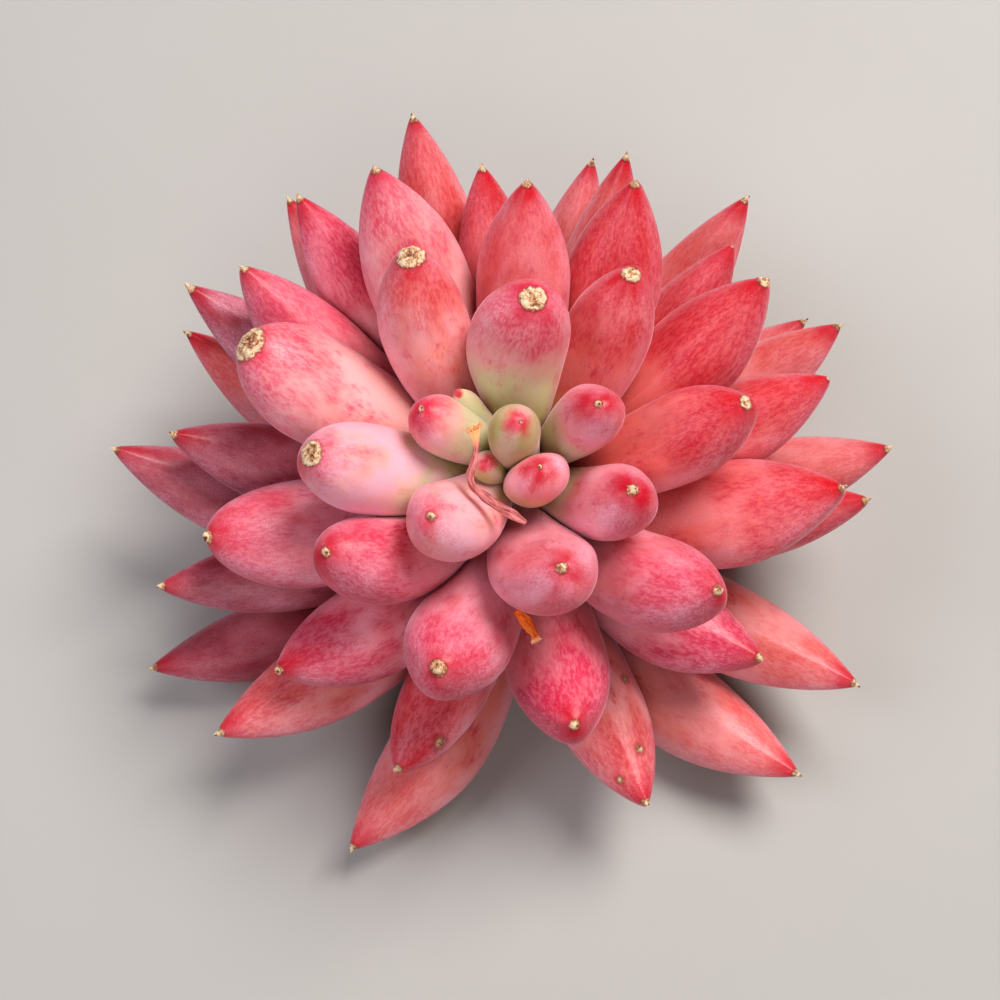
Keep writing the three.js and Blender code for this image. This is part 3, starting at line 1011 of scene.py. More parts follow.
@dataclass(frozen=True)
class LeafForm:
    """The body of one leaf, in mm.

    Args:
        tip: The end of the leaf.
        turn: The way its base lies from the stem's middle, counterclockwise from +X.
        root: The height of its base.
        width: Its greatest width.
        thickness: Its greatest thickness.
        belly: Where it is widest, as a share of its length.
        sag: How far it hangs under a straight line, by its length.
        bow: How far it bends to the left, by its length.
        blunt: 0 for an underside that ends in a point, 1 for one that ends round.
        oval: The same for the outline and the upper face.
    """

    tip: tuple[float, float, float]
    turn: float
    root: float
    width: float
    thickness: float
    belly: float
    sag: float
    bow: float
    blunt: float
    oval: float
    # What a fit may change, the step that tries it and how far it may be off
    FREE = ("turn", "root", "width", "thickness", "belly", "sag", "bow", "blunt", "oval")
    STEPS = (0.002, 0.02, 0.02, 0.02, 0.002, 0.002, 0.002, 0.01, 0.01)
    TRUST = (0.3, 3.0, 3.0, 2.5, 0.06, 0.08, 0.08, 0.3, 0.5)
    # How far off a corner may be before it counts less, from round to round
    SOFTNESS = (1.5, 0.8, 0.4, 0.2, 0.1, 0.05, 0.05, 0.05)
    TRIES = 3
    OUTSIDE_EASE = 3
    SHARE_LIMITS = (-0.1, 1.1)
    UNBENDING_TRIES = 5
    NEAR_MIDDLE = 0.05

    def base(self) -> np.ndarray:
        """The middle of the leaf's base, a little inside the stem."""
        radius = StemShape.radius_at(self.root) - Leaves.BASE_SINK
        return np.array([math.cos(self.turn) * radius, math.sin(self.turn) * radius, self.root])

    def axes(self) -> tuple[np.ndarray, np.ndarray, np.ndarray, float]:
        """The directions along the leaf, to its right and out of its upper face, and its length."""
        along = np.array(self.tip) - self.base()
        length = float(np.linalg.norm(along))
        along = along / length
        side = np.cross(along, UP)
        side = side / np.linalg.norm(side)
        return along, side, np.cross(side, along), length

    def half_size(self, share: np.ndarray, root: float, half: np.ndarray,
                  roundness: np.ndarray) -> np.ndarray:
        """Half the width or thickness at shares of the length.

        Args:
            share: Shares of the length.
            root: Half the size at the base.
            half: Half the greatest size.
            roundness: 0 where the end is pointed, 1 where it is round.

        Returns:
            Half the size at each share.
        """
        point = Leaves.POINT_HALF_WIDTH
        swell = root + (half - root) * np.sin(math.pi / 2 * np.minimum(share / self.belly, 1.0))
        beyond = np.clip((share - self.belly) / (1 - self.belly), 0.0, 1.0)
        pointed = 1 - beyond ** Leaves.POINTED_POWER
        rounded = np.sqrt(np.maximum(0.0, 1 - beyond ** Leaves.ROUNDED_POWER))
        taper = point + (half - point) * (pointed + (rounded - pointed) * roundness)
        return np.where(share <= self.belly, swell, taper)

    def half_width(self, share: np.ndarray) -> np.ndarray:
        """Half the width at shares of the length."""
        return self.half_size(share, Leaves.ROOT_HALF_WIDTH, self.width / 2, self.oval)

    def half_thickness(self, share: np.ndarray, upper: np.ndarray) -> np.ndarray:
        """Half the thickness at shares of the length.

        Args:
            share: Shares of the length.
            upper: Whether each is on the upper face.

        Returns:
            The half-thickness of that face.
        """
        half = self.thickness * np.where(upper, Leaves.UPPER_SHARE, 1 - Leaves.UPPER_SHARE)
        return self.half_size(share, Leaves.ROOT_HALF_THICKNESS, half,
                              np.where(upper, self.oval, self.blunt))

    def points(self, share: np.ndarray, across: np.ndarray, height: np.ndarray) -> np.ndarray:
        """Points of the bent leaf.

        Args:
            share: Shares of the length.
            across: Distances to the right of the middle line.
            height: Distances above the middle line.

        Returns:
            The points, with the coordinates last.
        """
        along, side, over, length = self.axes()
        bend = 4 * length * share * (1 - share)
        pitch = np.arctan(-4 * self.sag * (1 - 2 * share))
        forward = share * length - height * np.sin(pitch)
        sideways = across - self.bow * bend
        upward = height * np.cos(pitch) - self.sag * bend
        return (self.base() + forward[..., None] * along + sideways[..., None] * side
                + upward[..., None] * over)

    def unbent(self, points: np.ndarray) -> tuple[np.ndarray, np.ndarray, np.ndarray]:
        """The share of the length, and the distances across and above, of some points."""
        along, side, over, length = self.axes()
        offset = points - self.base()
        forward, sideways, upward = offset @ along, offset @ side, offset @ over
        share = np.clip(forward / length, *self.SHARE_LIMITS)
        height = upward
        for _ in range(self.UNBENDING_TRIES):
            bend = 4 * length * share * (1 - share)
            pitch = np.arctan(-4 * self.sag * (1 - 2 * share))
            height = (upward + self.sag * bend) / np.cos(pitch)
            share = np.clip((forward + height * np.sin(pitch)) / length, *self.SHARE_LIMITS)
        return share, sideways + self.bow * 4 * length * share * (1 - share), height

    def outside(self, points: np.ndarray) -> np.ndarray:
        """How far points lie outside the leaf's skin, in mm; less than 0 inside."""
        share, across, height = self.unbent(points)
        inner = np.clip(share, 0.0, 1.0)
        wide = self.half_width(inner)
        thick = self.half_thickness(inner, height > 0)
        ratio = np.maximum(np.hypot(across / wide, height / thick), 1e-6)
        out = np.hypot(across, height) * (1 - 1 / ratio)
        out = np.where(ratio < self.NEAR_MIDDLE, -np.minimum(wide, thick), out)
        length = self.axes()[3]
        return np.maximum(out, np.maximum(share - 1, -share) * length)

    def fitted(self, corners: np.ndarray) -> "LeafForm":
        """This form fitted to the corners of a CAD node.

        Corners that lie on the leaf's own skin draw the form to them. The others are
        where a neighbour has pressed the leaf hollow, so they lie inside and count
        less and less. The form's first values hold it where the corners say nothing.

        Args:
            corners: The node's corners in mm.

        Returns:
            The fitted form.
        """
        steps, trust = np.array(self.STEPS), np.array(self.TRUST)
        first = np.array([getattr(self, name) for name in self.FREE])
        found = first.copy()

        def misses(values: np.ndarray) -> np.ndarray:
            """How far each corner is from the skin of a form with these values."""
            return replace(self, **dict(zip(self.FREE, map(float, values)))).outside(corners)

        for softness in self.SOFTNESS:
            for _ in range(self.TRIES):
                miss = misses(found)
                slope = np.stack([(misses(found + step) - miss) / step[k]
                                  for k, step in enumerate(np.diag(steps))], 1)
                eased = np.where(miss > 0, miss / self.OUTSIDE_EASE, miss)
                weight = 1 / (1 + (eased / softness) ** 2)
                hold = np.diag((softness / trust) ** 2)
                pull = slope.T @ (weight * miss) + hold @ (found - first)
                found = found - np.linalg.solve(slope.T @ (weight[:, None] * slope) + hold, pull)
        return replace(self, **dict(zip(self.FREE, map(float, found))))


@dataclass(frozen=True)
class Turn:
    """One turn of leaves, from the heart down to the ground.

    Args:
        slot: The record's material slot.
        width: Usual width in mm.
        thickness: Usual thickness in mm.
        belly: Where a leaf is widest, as a share of its length.
        sag: Usual sag.
        blunt: How round the underside ends.
        oval: How round the outline and the upper face end.
        skin: The usual skin.
    """

    slot: str
    width: float
    thickness: float
    belly: float
    sag: float
    blunt: float
    oval: float
    skin: LeafSkin


TURNS = {
    "heart": Turn("leaf_heart", 7.8, 6.8, 0.64, 0.10, 1.0, 0.5, LeafSkin(
        Mood.PALE, green=1.06, blush_start=0.84, blush=0.35, blotches=0.1, point_red=2.2,
        wax=0.16, heart=0xB9B877)),
    "inner": Turn("leaf_inner", 10.4, 9.6, 0.66, 0.20, 1.0, 0.6, LeafSkin(
        Mood.ROSE, green=0.46, blush_start=0.62, blush=0.55, blotches=0.7, point_red=3.2,
        wax=0.34)),
    "upper": Turn("leaf_upper", 12.8, 11.2, 0.66, 0.17, 1.0, 0.4, LeafSkin(
        Mood.ROSE, green=0.0, blush_start=0.46, blush=0.8, wax=0.30)),
    "middle": Turn("leaf_middle", 13.4, 11.2, 0.63, 0.13, 0.8, 0.1, LeafSkin(
        Mood.CORAL, blush_start=0.42, blush=0.82, wax=0.20)),
    "lower": Turn("leaf_lower", 12.8, 10.4, 0.60, 0.10, 0.6, 0.1, LeafSkin(
        Mood.CORAL, blush_start=0.44, blush=0.78, wax=0.22)),
    "base": Turn("leaf_base", 13.0, 10.2, 0.58, 0.08, 0.5, 0.05, LeafSkin(
        Mood.SALMON, blush=0.65, wax=0.22)),
    "tucked": Turn("leaf_tucked", 12.4, 9.0, 0.58, 0.05, 0.5, 0.05, LeafSkin(
        Mood.SALMON, blush=0.45, wax=0.20)),
}

# Leaves whose tint, green or dry point differs from their turn's. dry: how far the dry
# point reaches, in mm. scar: the radius of a corky patch at the end, in mm. spots: small
# corky scabs, each a share of the length, degrees round from the upper face, and a radius.
OWN_LOOKS: dict[str, dict[str, object]] = {
    "leaf_heart_1": {"dry": 0.12},
    "leaf_heart_2": {"mood": Mood.ROSE, "green": 0.74, "blush": 0.6, "wax": 0.34, "dry": 0.25},
    "leaf_inner_1": {"green": 0.62, "wax": 0.34, "dry": 0.50},
    "leaf_inner_2": {"mood": Mood.PALE, "green": 0.74, "wax": 0.2, "blotches": 0.3, "dry": 0.40},
    "leaf_inner_3": {"mood": Mood.PALE, "green": 0.30, "wax": 0.40, "dry": 0.60},
    "leaf_inner_4": {"green": 0.20, "wax": 0.32},
    "leaf_inner_5": {"green": 0.40, "wax": 0.26, "blush": 0.65},
    "leaf_upper_1": {"mood": Mood.CORAL, "scar": 1.0, "wax": 0.10, "blush": 0.85},
    "leaf_upper_2": {"mood": Mood.CORAL, "green": 0.22, "scar": 1.3, "wax": 0.12},
    "leaf_upper_3": {"mood": Mood.PALE, "green": 0.60, "scar": 1.7, "wax": 0.16,
                     "blush_start": 0.48},
    "leaf_upper_4": {"mood": Mood.SALMON, "scar": 2.0, "blush_start": 0.50},
    "leaf_upper_5": {"mood": Mood.PALE, "green": 0.56, "scar": 1.7, "wax": 0.75,
                     "blush_start": 0.70, "blotches": 0.3},
    "leaf_upper_6": {"blotches": 1.0},
    "leaf_upper_7": {"dry": 1.1, "wax": 0.40},
    "leaf_upper_8": {"blush": 1.0, "wax": 0.12},
    "leaf_middle_2": {"scar": 1.0, "rings": 0.3, "wax": 0.06, "blush_start": 0.26},
    "leaf_middle_3": {"blush_start": 0.24, "wax": 0.08},
    "leaf_middle_4": {"wax": 0.24, "blush": 0.65},
    "leaf_middle_5": {"mood": Mood.PALE, "blush_start": 0.46},
    "leaf_middle_6": {"mood": Mood.ROSE, "blush": 0.75, "wax": 0.30},
    "leaf_middle_7": {"mood": Mood.PALE, "blush_start": 0.46, "blotches": 0.8, "scar": 2.6},
    "leaf_middle_8": {"mood": Mood.ROSE, "blush": 0.72, "blotches": 0.8, "dry": 1.0,
                      "wax": 0.34},
    "leaf_middle_9": {"mood": Mood.ROSE, "wax": 0.36},
    "leaf_middle_10": {"blotches": 0.9, "wax": 0.30, "rings": 0.3,
                       "spots": ((0.87, -58.0, 0.85),)},
    "leaf_middle_11": {"mood": Mood.SALMON, "blush_start": 0.46, "blotches": 1.0, "rings": 0.5,
                       "spots": ((0.61, -46.0, 0.55), (0.855, -31.0, 0.62), (0.92, 47.0, 0.50))},
    "leaf_middle_12": {"mood": Mood.ROSE, "blush": 1.0, "wax": 0.18},
    "leaf_lower_2": {"dry": 0.25},
    "leaf_lower_3": {"blush_start": 0.30, "dry": 0.25},
    "leaf_lower_5": {"mood": Mood.SALMON},
    "leaf_lower_6": {"mood": Mood.ROSE, "blush": 0.85},
    # These leaves take the mauve tint, partly their own colour and partly painted shade
    "leaf_lower_7": {"mood": Mood.MAUVE, "blush": 0.7},
    "leaf_lower_8": {"mood": Mood.MAUVE, "blush": 0.7, "wax": 0.26},
    "leaf_lower_9": {"mood": Mood.SALMON, "wax": 0.28},
    "leaf_base_8": {"mood": Mood.MAUVE, "dry": 1.0, "wax": 0.50},
    "leaf_base_10": {"mood": Mood.MAUVE, "wax": 0.28},
    "leaf_base_11": {"mood": Mood.MAUVE, "wax": 0.12},
}
USUAL_DRY_REACH = 0.75


@dataclass
class Leaf:
    """One leaf: its form, its skin and its dry point.

    Args:
        name: The piece's name.
        form: Its body.
        skin: Its finish.
        slot: The record's material slot; not used.
        dry: How far the dry point reaches, in mm.
        scar: The radius of its corky patch, or 0.
        spots: Scabs, each a share of the length, degrees round, and a radius in mm.
        seed: Makes its random relief its own.
    """

    name: str
    form: LeafForm
    skin: LeafSkin
    slot: str
    dry: float = USUAL_DRY_REACH
    scar: float = 0.0
    spots: tuple[tuple[float, float, float], ...] = ()
    seed: int = 0
    rings: np.ndarray = field(default_factory=lambda: np.zeros((0, 0, 3)))
    middles: np.ndarray = field(default_factory=lambda: np.zeros((0, 1, 3)))
    shares: np.ndarray = field(default_factory=lambda: np.zeros(0))
    across: np.ndarray = field(default_factory=lambda: np.zeros((0, 0)))
    height: np.ndarray = field(default_factory=lambda: np.zeros((0, 0)))

    @staticmethod
    def angles() -> np.ndarray:
        """The angle of each side of a ring, from the middle of the upper face."""
        return np.arange(Leaves.SIDES) * 2 * math.pi / Leaves.SIDES

    def loft(self) -> None:
        """Lays rings of points over the form, with a soft keel toward a pointed end."""
        form, belly = self.form, self.form.belly
        body = np.linspace(0.0, belly, Leaves.BODY_RINGS, endpoint=False)
        left = (1 - np.linspace(0.0, 1.0, Leaves.END_RINGS)) ** Leaves.RINGS_TO_THE_END
        end = 1 - (1 - belly) * left
        share = np.concatenate([body, end])
        angle = self.angles()
        near_end = np.clip((share - belly) / (1 - belly), 0, 1)[:, None]
        keel = Leaves.KEEL * max(0.0, 1 - form.oval / Leaves.OVAL_WITHOUT_KEEL)
        squareness = Leaves.SQUARENESS + keel * near_end ** Leaves.KEEL_POWER
        upper = np.cos(angle)[None, :] > 0
        squareness = np.where(upper, squareness, (squareness + 1) / 2)
        rise = np.cos(angle)[None, :]
        aside = np.sin(angle)[None, :]
        rise = np.sign(rise) * np.abs(rise) ** squareness
        aside = np.sign(aside) * np.abs(aside) ** squareness
        dice = np.random.default_rng(self.seed)
        phases = dice.uniform(0, 2 * math.pi, len(Leaves.SWELLS))
        faded = np.sin(math.pi * np.clip(share, 0, 1))[:, None] ** Leaves.SWELL_FADE_POWER
        planes = sum(
            size * np.cos(waves * share[:, None] + turns * angle[None, :] + phase + start)
            for (size, waves, turns, start), phase in zip(Leaves.SWELLS, phases))
        swell = 1 - Leaves.SHRINK + planes * faded
        wide = form.half_width(share)[:, None]
        thick = form.half_thickness(share[:, None], rise > 0)
        self.shares = share
        self.across = wide * aside * swell
        self.height = thick * rise * swell
        grid = np.broadcast_to(share[:, None], self.across.shape)
        self.rings = form.points(grid, self.across, self.height)
        middle = np.zeros((len(share), 1))
        self.middles = form.points(share[:, None], middle, middle)

    def press_against(self, other: "Leaf") -> None:
        """Presses this leaf hollow where another one lies.

        Args:
            other: The leaf that keeps its form.
        """
        low, high = other.rings.min((0, 1)), other.rings.max((0, 1))
        if (self.rings.min((0, 1)) > high).any() or (self.rings.max((0, 1)) < low).any():
            return
        offset = self.rings - self.middles
        clear = Leaves.CLEARANCE
        inside = other.form.outside(self.rings) < clear
        if not inside.any():
            return
        middles = np.broadcast_to(self.middles, offset.shape)[inside]
        ways = offset[inside]
        low_share = np.full(len(ways), Leaves.LEAST_SQUEEZE)
        high_share = np.ones(len(ways))
        for _ in range(Leaves.PRESS_STEPS):
            trial = (low_share + high_share) / 2
            out = other.form.outside(middles + ways * trial[:, None]) >= clear
            low_share = np.where(out, trial, low_share)
            high_share = np.where(out, high_share, trial)
        squeeze = np.ones(inside.shape)
        squeeze[inside] = low_share
        for _ in range(Leaves.PRESS_SOFTENING):
            soft = squeeze.copy()
            for shift in (-1, 1):
                soft += np.roll(squeeze, shift, 1)
                soft += np.concatenate([squeeze[:1], squeeze[:-1]] if shift > 0
                                       else [squeeze[1:], squeeze[-1:]])
            squeeze = np.minimum(squeeze, soft / 5)
        self.rings = self.middles + offset * squeeze[..., None]

    def add_point(self) -> tuple[np.ndarray, np.ndarray, np.ndarray]:
        """The rings of the dry point that ends the leaf: a cone, or a small nub.

        Returns:
            The rings, their distances beyond the tip, and the crust level of each, which sets its
            colour and carries a painted dent.
        """
        form = self.form
        if self.scar:
            return np.zeros((0, Leaves.SIDES, 3)), np.zeros(0), np.zeros(0)
        along, side, over, _ = form.axes()
        pitch = math.atan(4 * form.sag)
        forward = along * math.cos(pitch) + over * math.sin(pitch)
        upward = over * math.cos(pitch) - along * math.sin(pitch)
        shape = PointShape
        nub = form.oval > shape.NUB_FROM_OVAL
        size = (shape.LEAST_SIZE + self.dry) * (1.0 if nub else shape.CONE_SIZE)
        dice = np.random.default_rng(shape.SEED + self.seed)
        angle = self.angles()
        outline = shape.NUB if nub else shape.CONE
        dent = dice.uniform(0, 2 * math.pi)
        lean = dice.uniform(-shape.LEAN, shape.LEAN, 2)
        lobes = sum(height * np.sin(count * angle + turn * dent)
                    for height, count, turn in shape.LOBES)
        # A dent painted into the crust colour as the shade of a hollow; the rings are not moved
        painted_dent_shade = shape.DENT_DEPTH * np.exp(shape.DENT_SHARPNESS * (np.cos(angle - dent) - 1))
        rings, beyond, levels = [], [], []
        for number, (step, radius) in enumerate(outline):
            uneven = 1 + lobes + dice.uniform(-shape.GRAIN, shape.GRAIN, Leaves.SIDES)
            spread = (radius * size * uneven)[:, None]
            centre = (np.array(form.tip) + forward * step * size
                      + (side * lean[0] + upward * lean[1]) * step * shape.LEAN_SHARE)
            rings.append(centre + spread * (np.sin(angle)[:, None] * side
                                            + np.cos(angle)[:, None] * upward))
            beyond.append(step * size)
            levels.append(shape.LEVEL - (number >= shape.DENT_FROM_RING) * painted_dent_shade)
        return np.array(rings), np.array(beyond), np.array(levels)

    def raise_scar(self, rings: np.ndarray, distance: np.ndarray, crust: np.ndarray) -> None:
        """Turns the leaf's end into a dry crater with a flaking rim.

        Args:
            rings: All rings of the leaf, which it moves.
            distance: Each point's distance from the tip.
            crust: The height of the dry crust, which it fills in.
        """
        shape, reach = ScarShape, self.scar
        dice = np.random.default_rng(shape.SEED + self.seed)
        _, side, over, _ = self.form.axes()
        tip = np.array(self.form.tip)
        centre = tip - self.form.axes()[0] * reach * shape.CENTRE_SHARE
        aside = dice.uniform(-shape.PIT_ASIDE_SHARE, shape.PIT_ASIDE_SHARE)
        pit = tip + (side * aside + over * dice.uniform(0.0, shape.PIT_UPWARD_SHARE)) * reach
        for ring, number in zip(*np.nonzero(distance < reach + shape.MARGIN)):
            point = rings[ring, number]
            away = distance[ring, number]
            way = point - centre
            way = way / max(float(np.linalg.norm(way)), 1e-6)
            fade = min(1.0, max(0.0, (reach + shape.FADE_START - away) / shape.FADE_WIDTH))
            crumbs = noise.fractal(Vector(point * shape.CRUMBS_PER_MM + self.seed), 1.0, 2.1, 4)
            flakes = 1 - 2 * abs(noise.noise(Vector(point * shape.FLAKES_PER_MM - self.seed)))
            hollow = math.exp(-(np.linalg.norm(point - pit) / (shape.PIT_SHARE * reach)) ** 2)
            rim = math.exp(-((away - reach * shape.RIM_SHARE) / shape.RIM_WIDTH) ** 2)
            level = (shape.CRUMB_HEIGHT * crumbs + shape.FLAKE_HEIGHT * flakes
                     + shape.RIM_HEIGHT * rim - shape.PIT_DEPTH_SHARE * reach * hollow)
            crust[ring, number] = level
            rings[ring, number] = point + way * fade * level

    def build(self, nodes: Iterable[str]) -> bpy.types.Object:
        """Makes the leaf's piece.

        Args:
            nodes: The CAD nodes that it stands for.

        Returns:
            The object.
        """
        form = self.form
        point_rings, beyond, levels = self.add_point()
        length = form.axes()[3]
        distance = np.linalg.norm(self.rings - np.array(form.tip), axis=2)
        distance = np.concatenate([distance, np.zeros(point_rings.shape[:2])])
        rings = np.concatenate([self.rings, point_rings])
        crust = np.zeros(distance.shape)
        crust[len(self.rings):] = levels.reshape(-1, Leaves.SIDES)
        if self.scar:
            self.raise_scar(rings, distance, crust)
        share = np.concatenate([self.shares, 1 + beyond / length])[:, None]
        angle = self.angles()
        full = np.ones(distance.shape)
        place = np.stack([share * full, np.sin(angle) * full, np.cos(angle) * full], 2)
        extra = np.ones((len(beyond), 1))
        across = np.concatenate([self.across, self.across[-1:] * extra])
        height = np.concatenate([self.height, self.height[-1:] * extra])
        shift = np.array(Leaves.PATTERN_SHIFT) * self.seed * Leaves.PATTERN_STEP
        local = np.stack([share * length * full, across, height], 2) + shift
        skein = Skein()
        skein.add_tube(rings, **{PLACE: place, LOCAL: local, FROM_POINT: distance, CRUST: crust})
        spots = []
        for spot_share, degrees, radius in self.spots:
            ring = int(np.argmin(np.abs(self.shares - spot_share)))
            corner = round(degrees / 360 * Leaves.SIDES) % Leaves.SIDES
            spots.append((local[ring, corner], radius))
        material = self.skin.material("skin_" + self.name, self.scar or self.dry, spots)
        return skein.piece(self.name, material, nodes)


# How a leaf's two ends are found among its node's corners, in mm or shares of its reach
FAR_SHARE = 0.9
TIP_TRIANGLES = 8
INNER_END_REACH = 5.0
POINT_REACH = 0.6
EVERY_SECOND = slice(None, None, 2)


def node_corners(node: str) -> tuple[np.ndarray, np.ndarray]:
    """The corners of a CAD node, each once.

    Args:
        node: The node's name.

    Returns:
        The corners in mm, and how sharp each is: the sum of the angles that meet there,
        or infinite unless as many triangles meet as at a leaf's tip. It is smallest at
        the tip.
    """
    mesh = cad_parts[node].data
    places = np.empty(len(mesh.vertices) * 3)
    mesh.vertices.foreach_get("co", places)
    corners, number = np.unique((places.reshape(-1, 3) / MM).round(3), axis=0,
                                return_inverse=True)
    mesh.calc_loop_triangles()
    triangles = np.empty(len(mesh.loop_triangles) * 3, dtype=np.int32)
    mesh.loop_triangles.foreach_get("vertices", triangles)
    triangles = number.ravel()[triangles].reshape(-1, 3)
    spread = np.zeros(len(corners))
    for k in range(3):
        here, left, right = (corners[triangles[:, (k + step) % 3]] for step in range(3))
        cosine = np.sum((left - here) * (right - here), axis=1)
        lengths = np.linalg.norm(left - here, axis=1) * np.linalg.norm(right - here, axis=1)
        angle = np.arccos(np.clip(cosine / np.maximum(lengths, 1e-9), -1, 1))
        np.add.at(spread, triangles[:, k], angle)
    meeting = np.bincount(triangles.ravel(), minlength=len(corners))
    return corners, np.where(meeting == TIP_TRIANGLES, spread, np.inf)


@dataclass
class Rosette:
    """All the leaves, measured from the CAD nodes and pressed against each other."""

    leaves: dict[str, Leaf] = field(default_factory=dict)

    def measure(self) -> None:
        """Measures every leaf node and lofts its leaf."""
        for seed, node in enumerate(sorted(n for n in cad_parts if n.startswith("leaf_"))):
            _, turn_name, number = node.split("_")
            turn = TURNS[turn_name]
            corners, spread = node_corners(node)
            inmost = corners[np.argmin(np.hypot(corners[:, 0], corners[:, 1]))]
            reach = np.linalg.norm(corners - inmost, axis=1)
            far = reach > FAR_SHARE * reach.max()
            tip = corners[np.argmin(np.where(far, spread, np.inf))]
            inner_end = corners[reach < INNER_END_REACH].mean(0)
            start = LeafForm(
                tip=tuple(map(float, tip)), turn=math.atan2(inner_end[1], inner_end[0]),
                root=float(inner_end[2]), width=turn.width, thickness=turn.thickness,
                belly=turn.belly, sag=turn.sag, bow=0.0, blunt=turn.blunt, oval=turn.oval)
            skin = corners[np.linalg.norm(corners - tip, axis=1) > POINT_REACH]
            form = start.fitted(skin[EVERY_SECOND])
            looks = dict(OWN_LOOKS.get(node, {}))
            dry = float(looks.pop("dry", USUAL_DRY_REACH))
            scar = float(looks.pop("scar", 0.0))
            spots = looks.pop("spots", ())
            self.leaves[node] = Leaf(
                f"{turn_name}_leaf_{number}", form, replace(turn.skin, **looks), turn.slot,
                dry, scar, spots, seed)
            self.leaves[node].loft()

    def press(self) -> None:
        """Presses each leaf hollow where leaves of shorter reach lie against it."""
        ordered = sorted(self.leaves.values(),
                         key=lambda leaf: math.hypot(leaf.form.tip[0], leaf.form.tip[1]))
        for place, leaf in enumerate(ordered):
            for other in ordered[:place]:
                leaf.press_against(other)

    def build(self) -> None:
        """Makes every leaf's piece."""
        self.measure()
        self.press()
        for node, leaf in self.leaves.items():
            leaf.build([node])


# The stem and the dry bits

@dataclass(frozen=True)
class Leaflet:
    """A leaflet still growing at the top of the stem, too young for a dry end.

    Args:
        tip: The pixel of its tip.
        height: The tip's height in mm.
        root: Its base's height in mm.
        width: Its width in mm.
        thickness: Its thickness in mm.
        oval: How round it ends.
        skin: Its finish.
    """

    tip: tuple[float, float]
    height: float
    root: float
    width: float
    thickness: float
    oval: float
    skin: LeafSkin
    DRY_REACH = -0.1

    def leaf(self, name: str, seed: int) -> Leaf:
        """The leaflet as a leaf.

        Args:
            name: The piece's name.
            seed: Makes its random relief its own.

        Returns:
            The lofted leaf.
        """
        tip = VIEW.point_at(self.tip, self.height)
        turn = TURNS["heart"]
        form = LeafForm(
            tip=tuple(map(float, tip)), turn=math.atan2(tip[1], tip[0]), root=self.root,
            width=self.width, thickness=self.thickness, belly=turn.belly, sag=turn.sag,
            bow=0.0, blunt=self.oval * 2, oval=self.oval)
        made = Leaf(name, form, self.skin, turn.slot, self.DRY_REACH, seed=seed)
        made.loft()
        return made


@dataclass(frozen=True)
class Stem:
    """The short woody stem and the leaflets at its top."""

    finish: StemFinish = StemFinish()
    leaflets: tuple[Leaflet, ...] = (
        Leaflet((486, 461), 44.5, 37.5, 4.6, 4.2, 0.5, LeafSkin(
            Mood.PALE, green=0.98, blush_start=0.86, blush=0.4, blotches=0.1, point_red=1.4,
            wax=0.2, heart=0xB9B877)),
        Leaflet((457, 391), 46.0, 36.5, 4.6, 3.2, 0.0, LeafSkin(
            Mood.PALE, green=1.25, blush_start=1.0, blush=0.3, blotches=0.0, point_red=0.7,
            wax=0.3, heart=0xDCD4A2)),
    )
    SIDES = 96
    RINGS = 130
    SCARS = 34
    GOLDEN_TURN = 2.39996
    FIRST_SCAR = 3.0
    SCAR_HALF_WIDTH = 2.0
    SCAR_HALF_HEIGHT = 0.9
    LIP_HEIGHT = 0.34
    LIP_WIDTH = 0.32
    DIP = 0.2
    FLARE_HEIGHT = 1.6
    # Height of each ring of the foot, and how far it lies in from the cut's radius
    FOOT = ((0.02, 2.4), (0.0, 1.2), (0.0, 0.5), (0.22, 0.15), (0.6, 0.0), (1.2, 0.12))
    # Size, number round the stem and turn per mm of the grooves
    GROOVES = ((0.10, 7, 0.4), (0.06, 13, -1.0))
    LEAFLET_SEED = 200

    def body(self) -> tuple[np.ndarray, np.ndarray]:
        """The stem's rings and the local place of each point.

        Returns:
            Points in mm, and where they are along and across the stem.
        """
        shape = StemShape
        foot = [(height, shape.CUT_RADIUS - inward) for height, inward in self.FOOT]
        rise = np.linspace(2.0, shape.HEIGHT - 0.5, self.RINGS)
        flare = shape.CUT_RADIUS - shape.RADIUS
        radius = [shape.radius_at(z) + flare * math.exp(-(z - 1) / self.FLARE_HEIGHT)
                  for z in rise]
        outline = foot + list(zip(rise, radius))
        outline += [(shape.HEIGHT - 0.2, shape.TOP_RADIUS * 0.7), (shape.HEIGHT, 0.6)]
        heights = np.array([z for z, _ in outline])[:, None]
        radii = np.array([r for _, r in outline])[:, None]
        angle = (np.arange(self.SIDES) * 2 * math.pi / self.SIDES)[None, :]
        relief = sum(size * np.sin(count * angle + twist * heights)
                     for size, count, twist in self.GROOVES)
        for k in range(self.SCARS):
            spot_angle = k * self.GOLDEN_TURN
            spot_height = self.FIRST_SCAR + k * (shape.HEIGHT - 2 * self.FIRST_SCAR) / self.SCARS
            sideways = (angle - spot_angle + math.pi) % (2 * math.pi) - math.pi
            away = np.hypot(sideways * radii / self.SCAR_HALF_WIDTH,
                            (heights - spot_height) / self.SCAR_HALF_HEIGHT)
            lip = self.LIP_HEIGHT * np.exp(-((away - 1.0) / self.LIP_WIDTH) ** 2)
            relief = relief + lip - self.DIP * np.exp(-away ** 2)
        above_foot = np.clip((heights - 0.5) / 2.0, 0, 1)
        radii = radii + relief * above_foot
        rings = np.stack([radii * np.cos(angle), radii * np.sin(angle),
                          heights + 0 * angle], 2)
        local = np.stack([rings[..., 2], rings[..., 0], rings[..., 1]], 2)
        return rings, local

    def build(self) -> None:
        """Makes the stem and its leaflets."""
        rings, local = self.body()
        skein = Skein()
        skein.add_tube(rings, **{LOCAL: local})
        material = self.finish.material("bark_and_cut", StemShape.HEIGHT, StemShape.CUT_RADIUS)
        skein.piece("stem_wood", material, ["stem"])
        for number, leaflet in enumerate(self.leaflets, 1):
            leaflet.leaf(f"heart_leaflet_{number}", self.LEAFLET_SEED + number).build(["stem"])


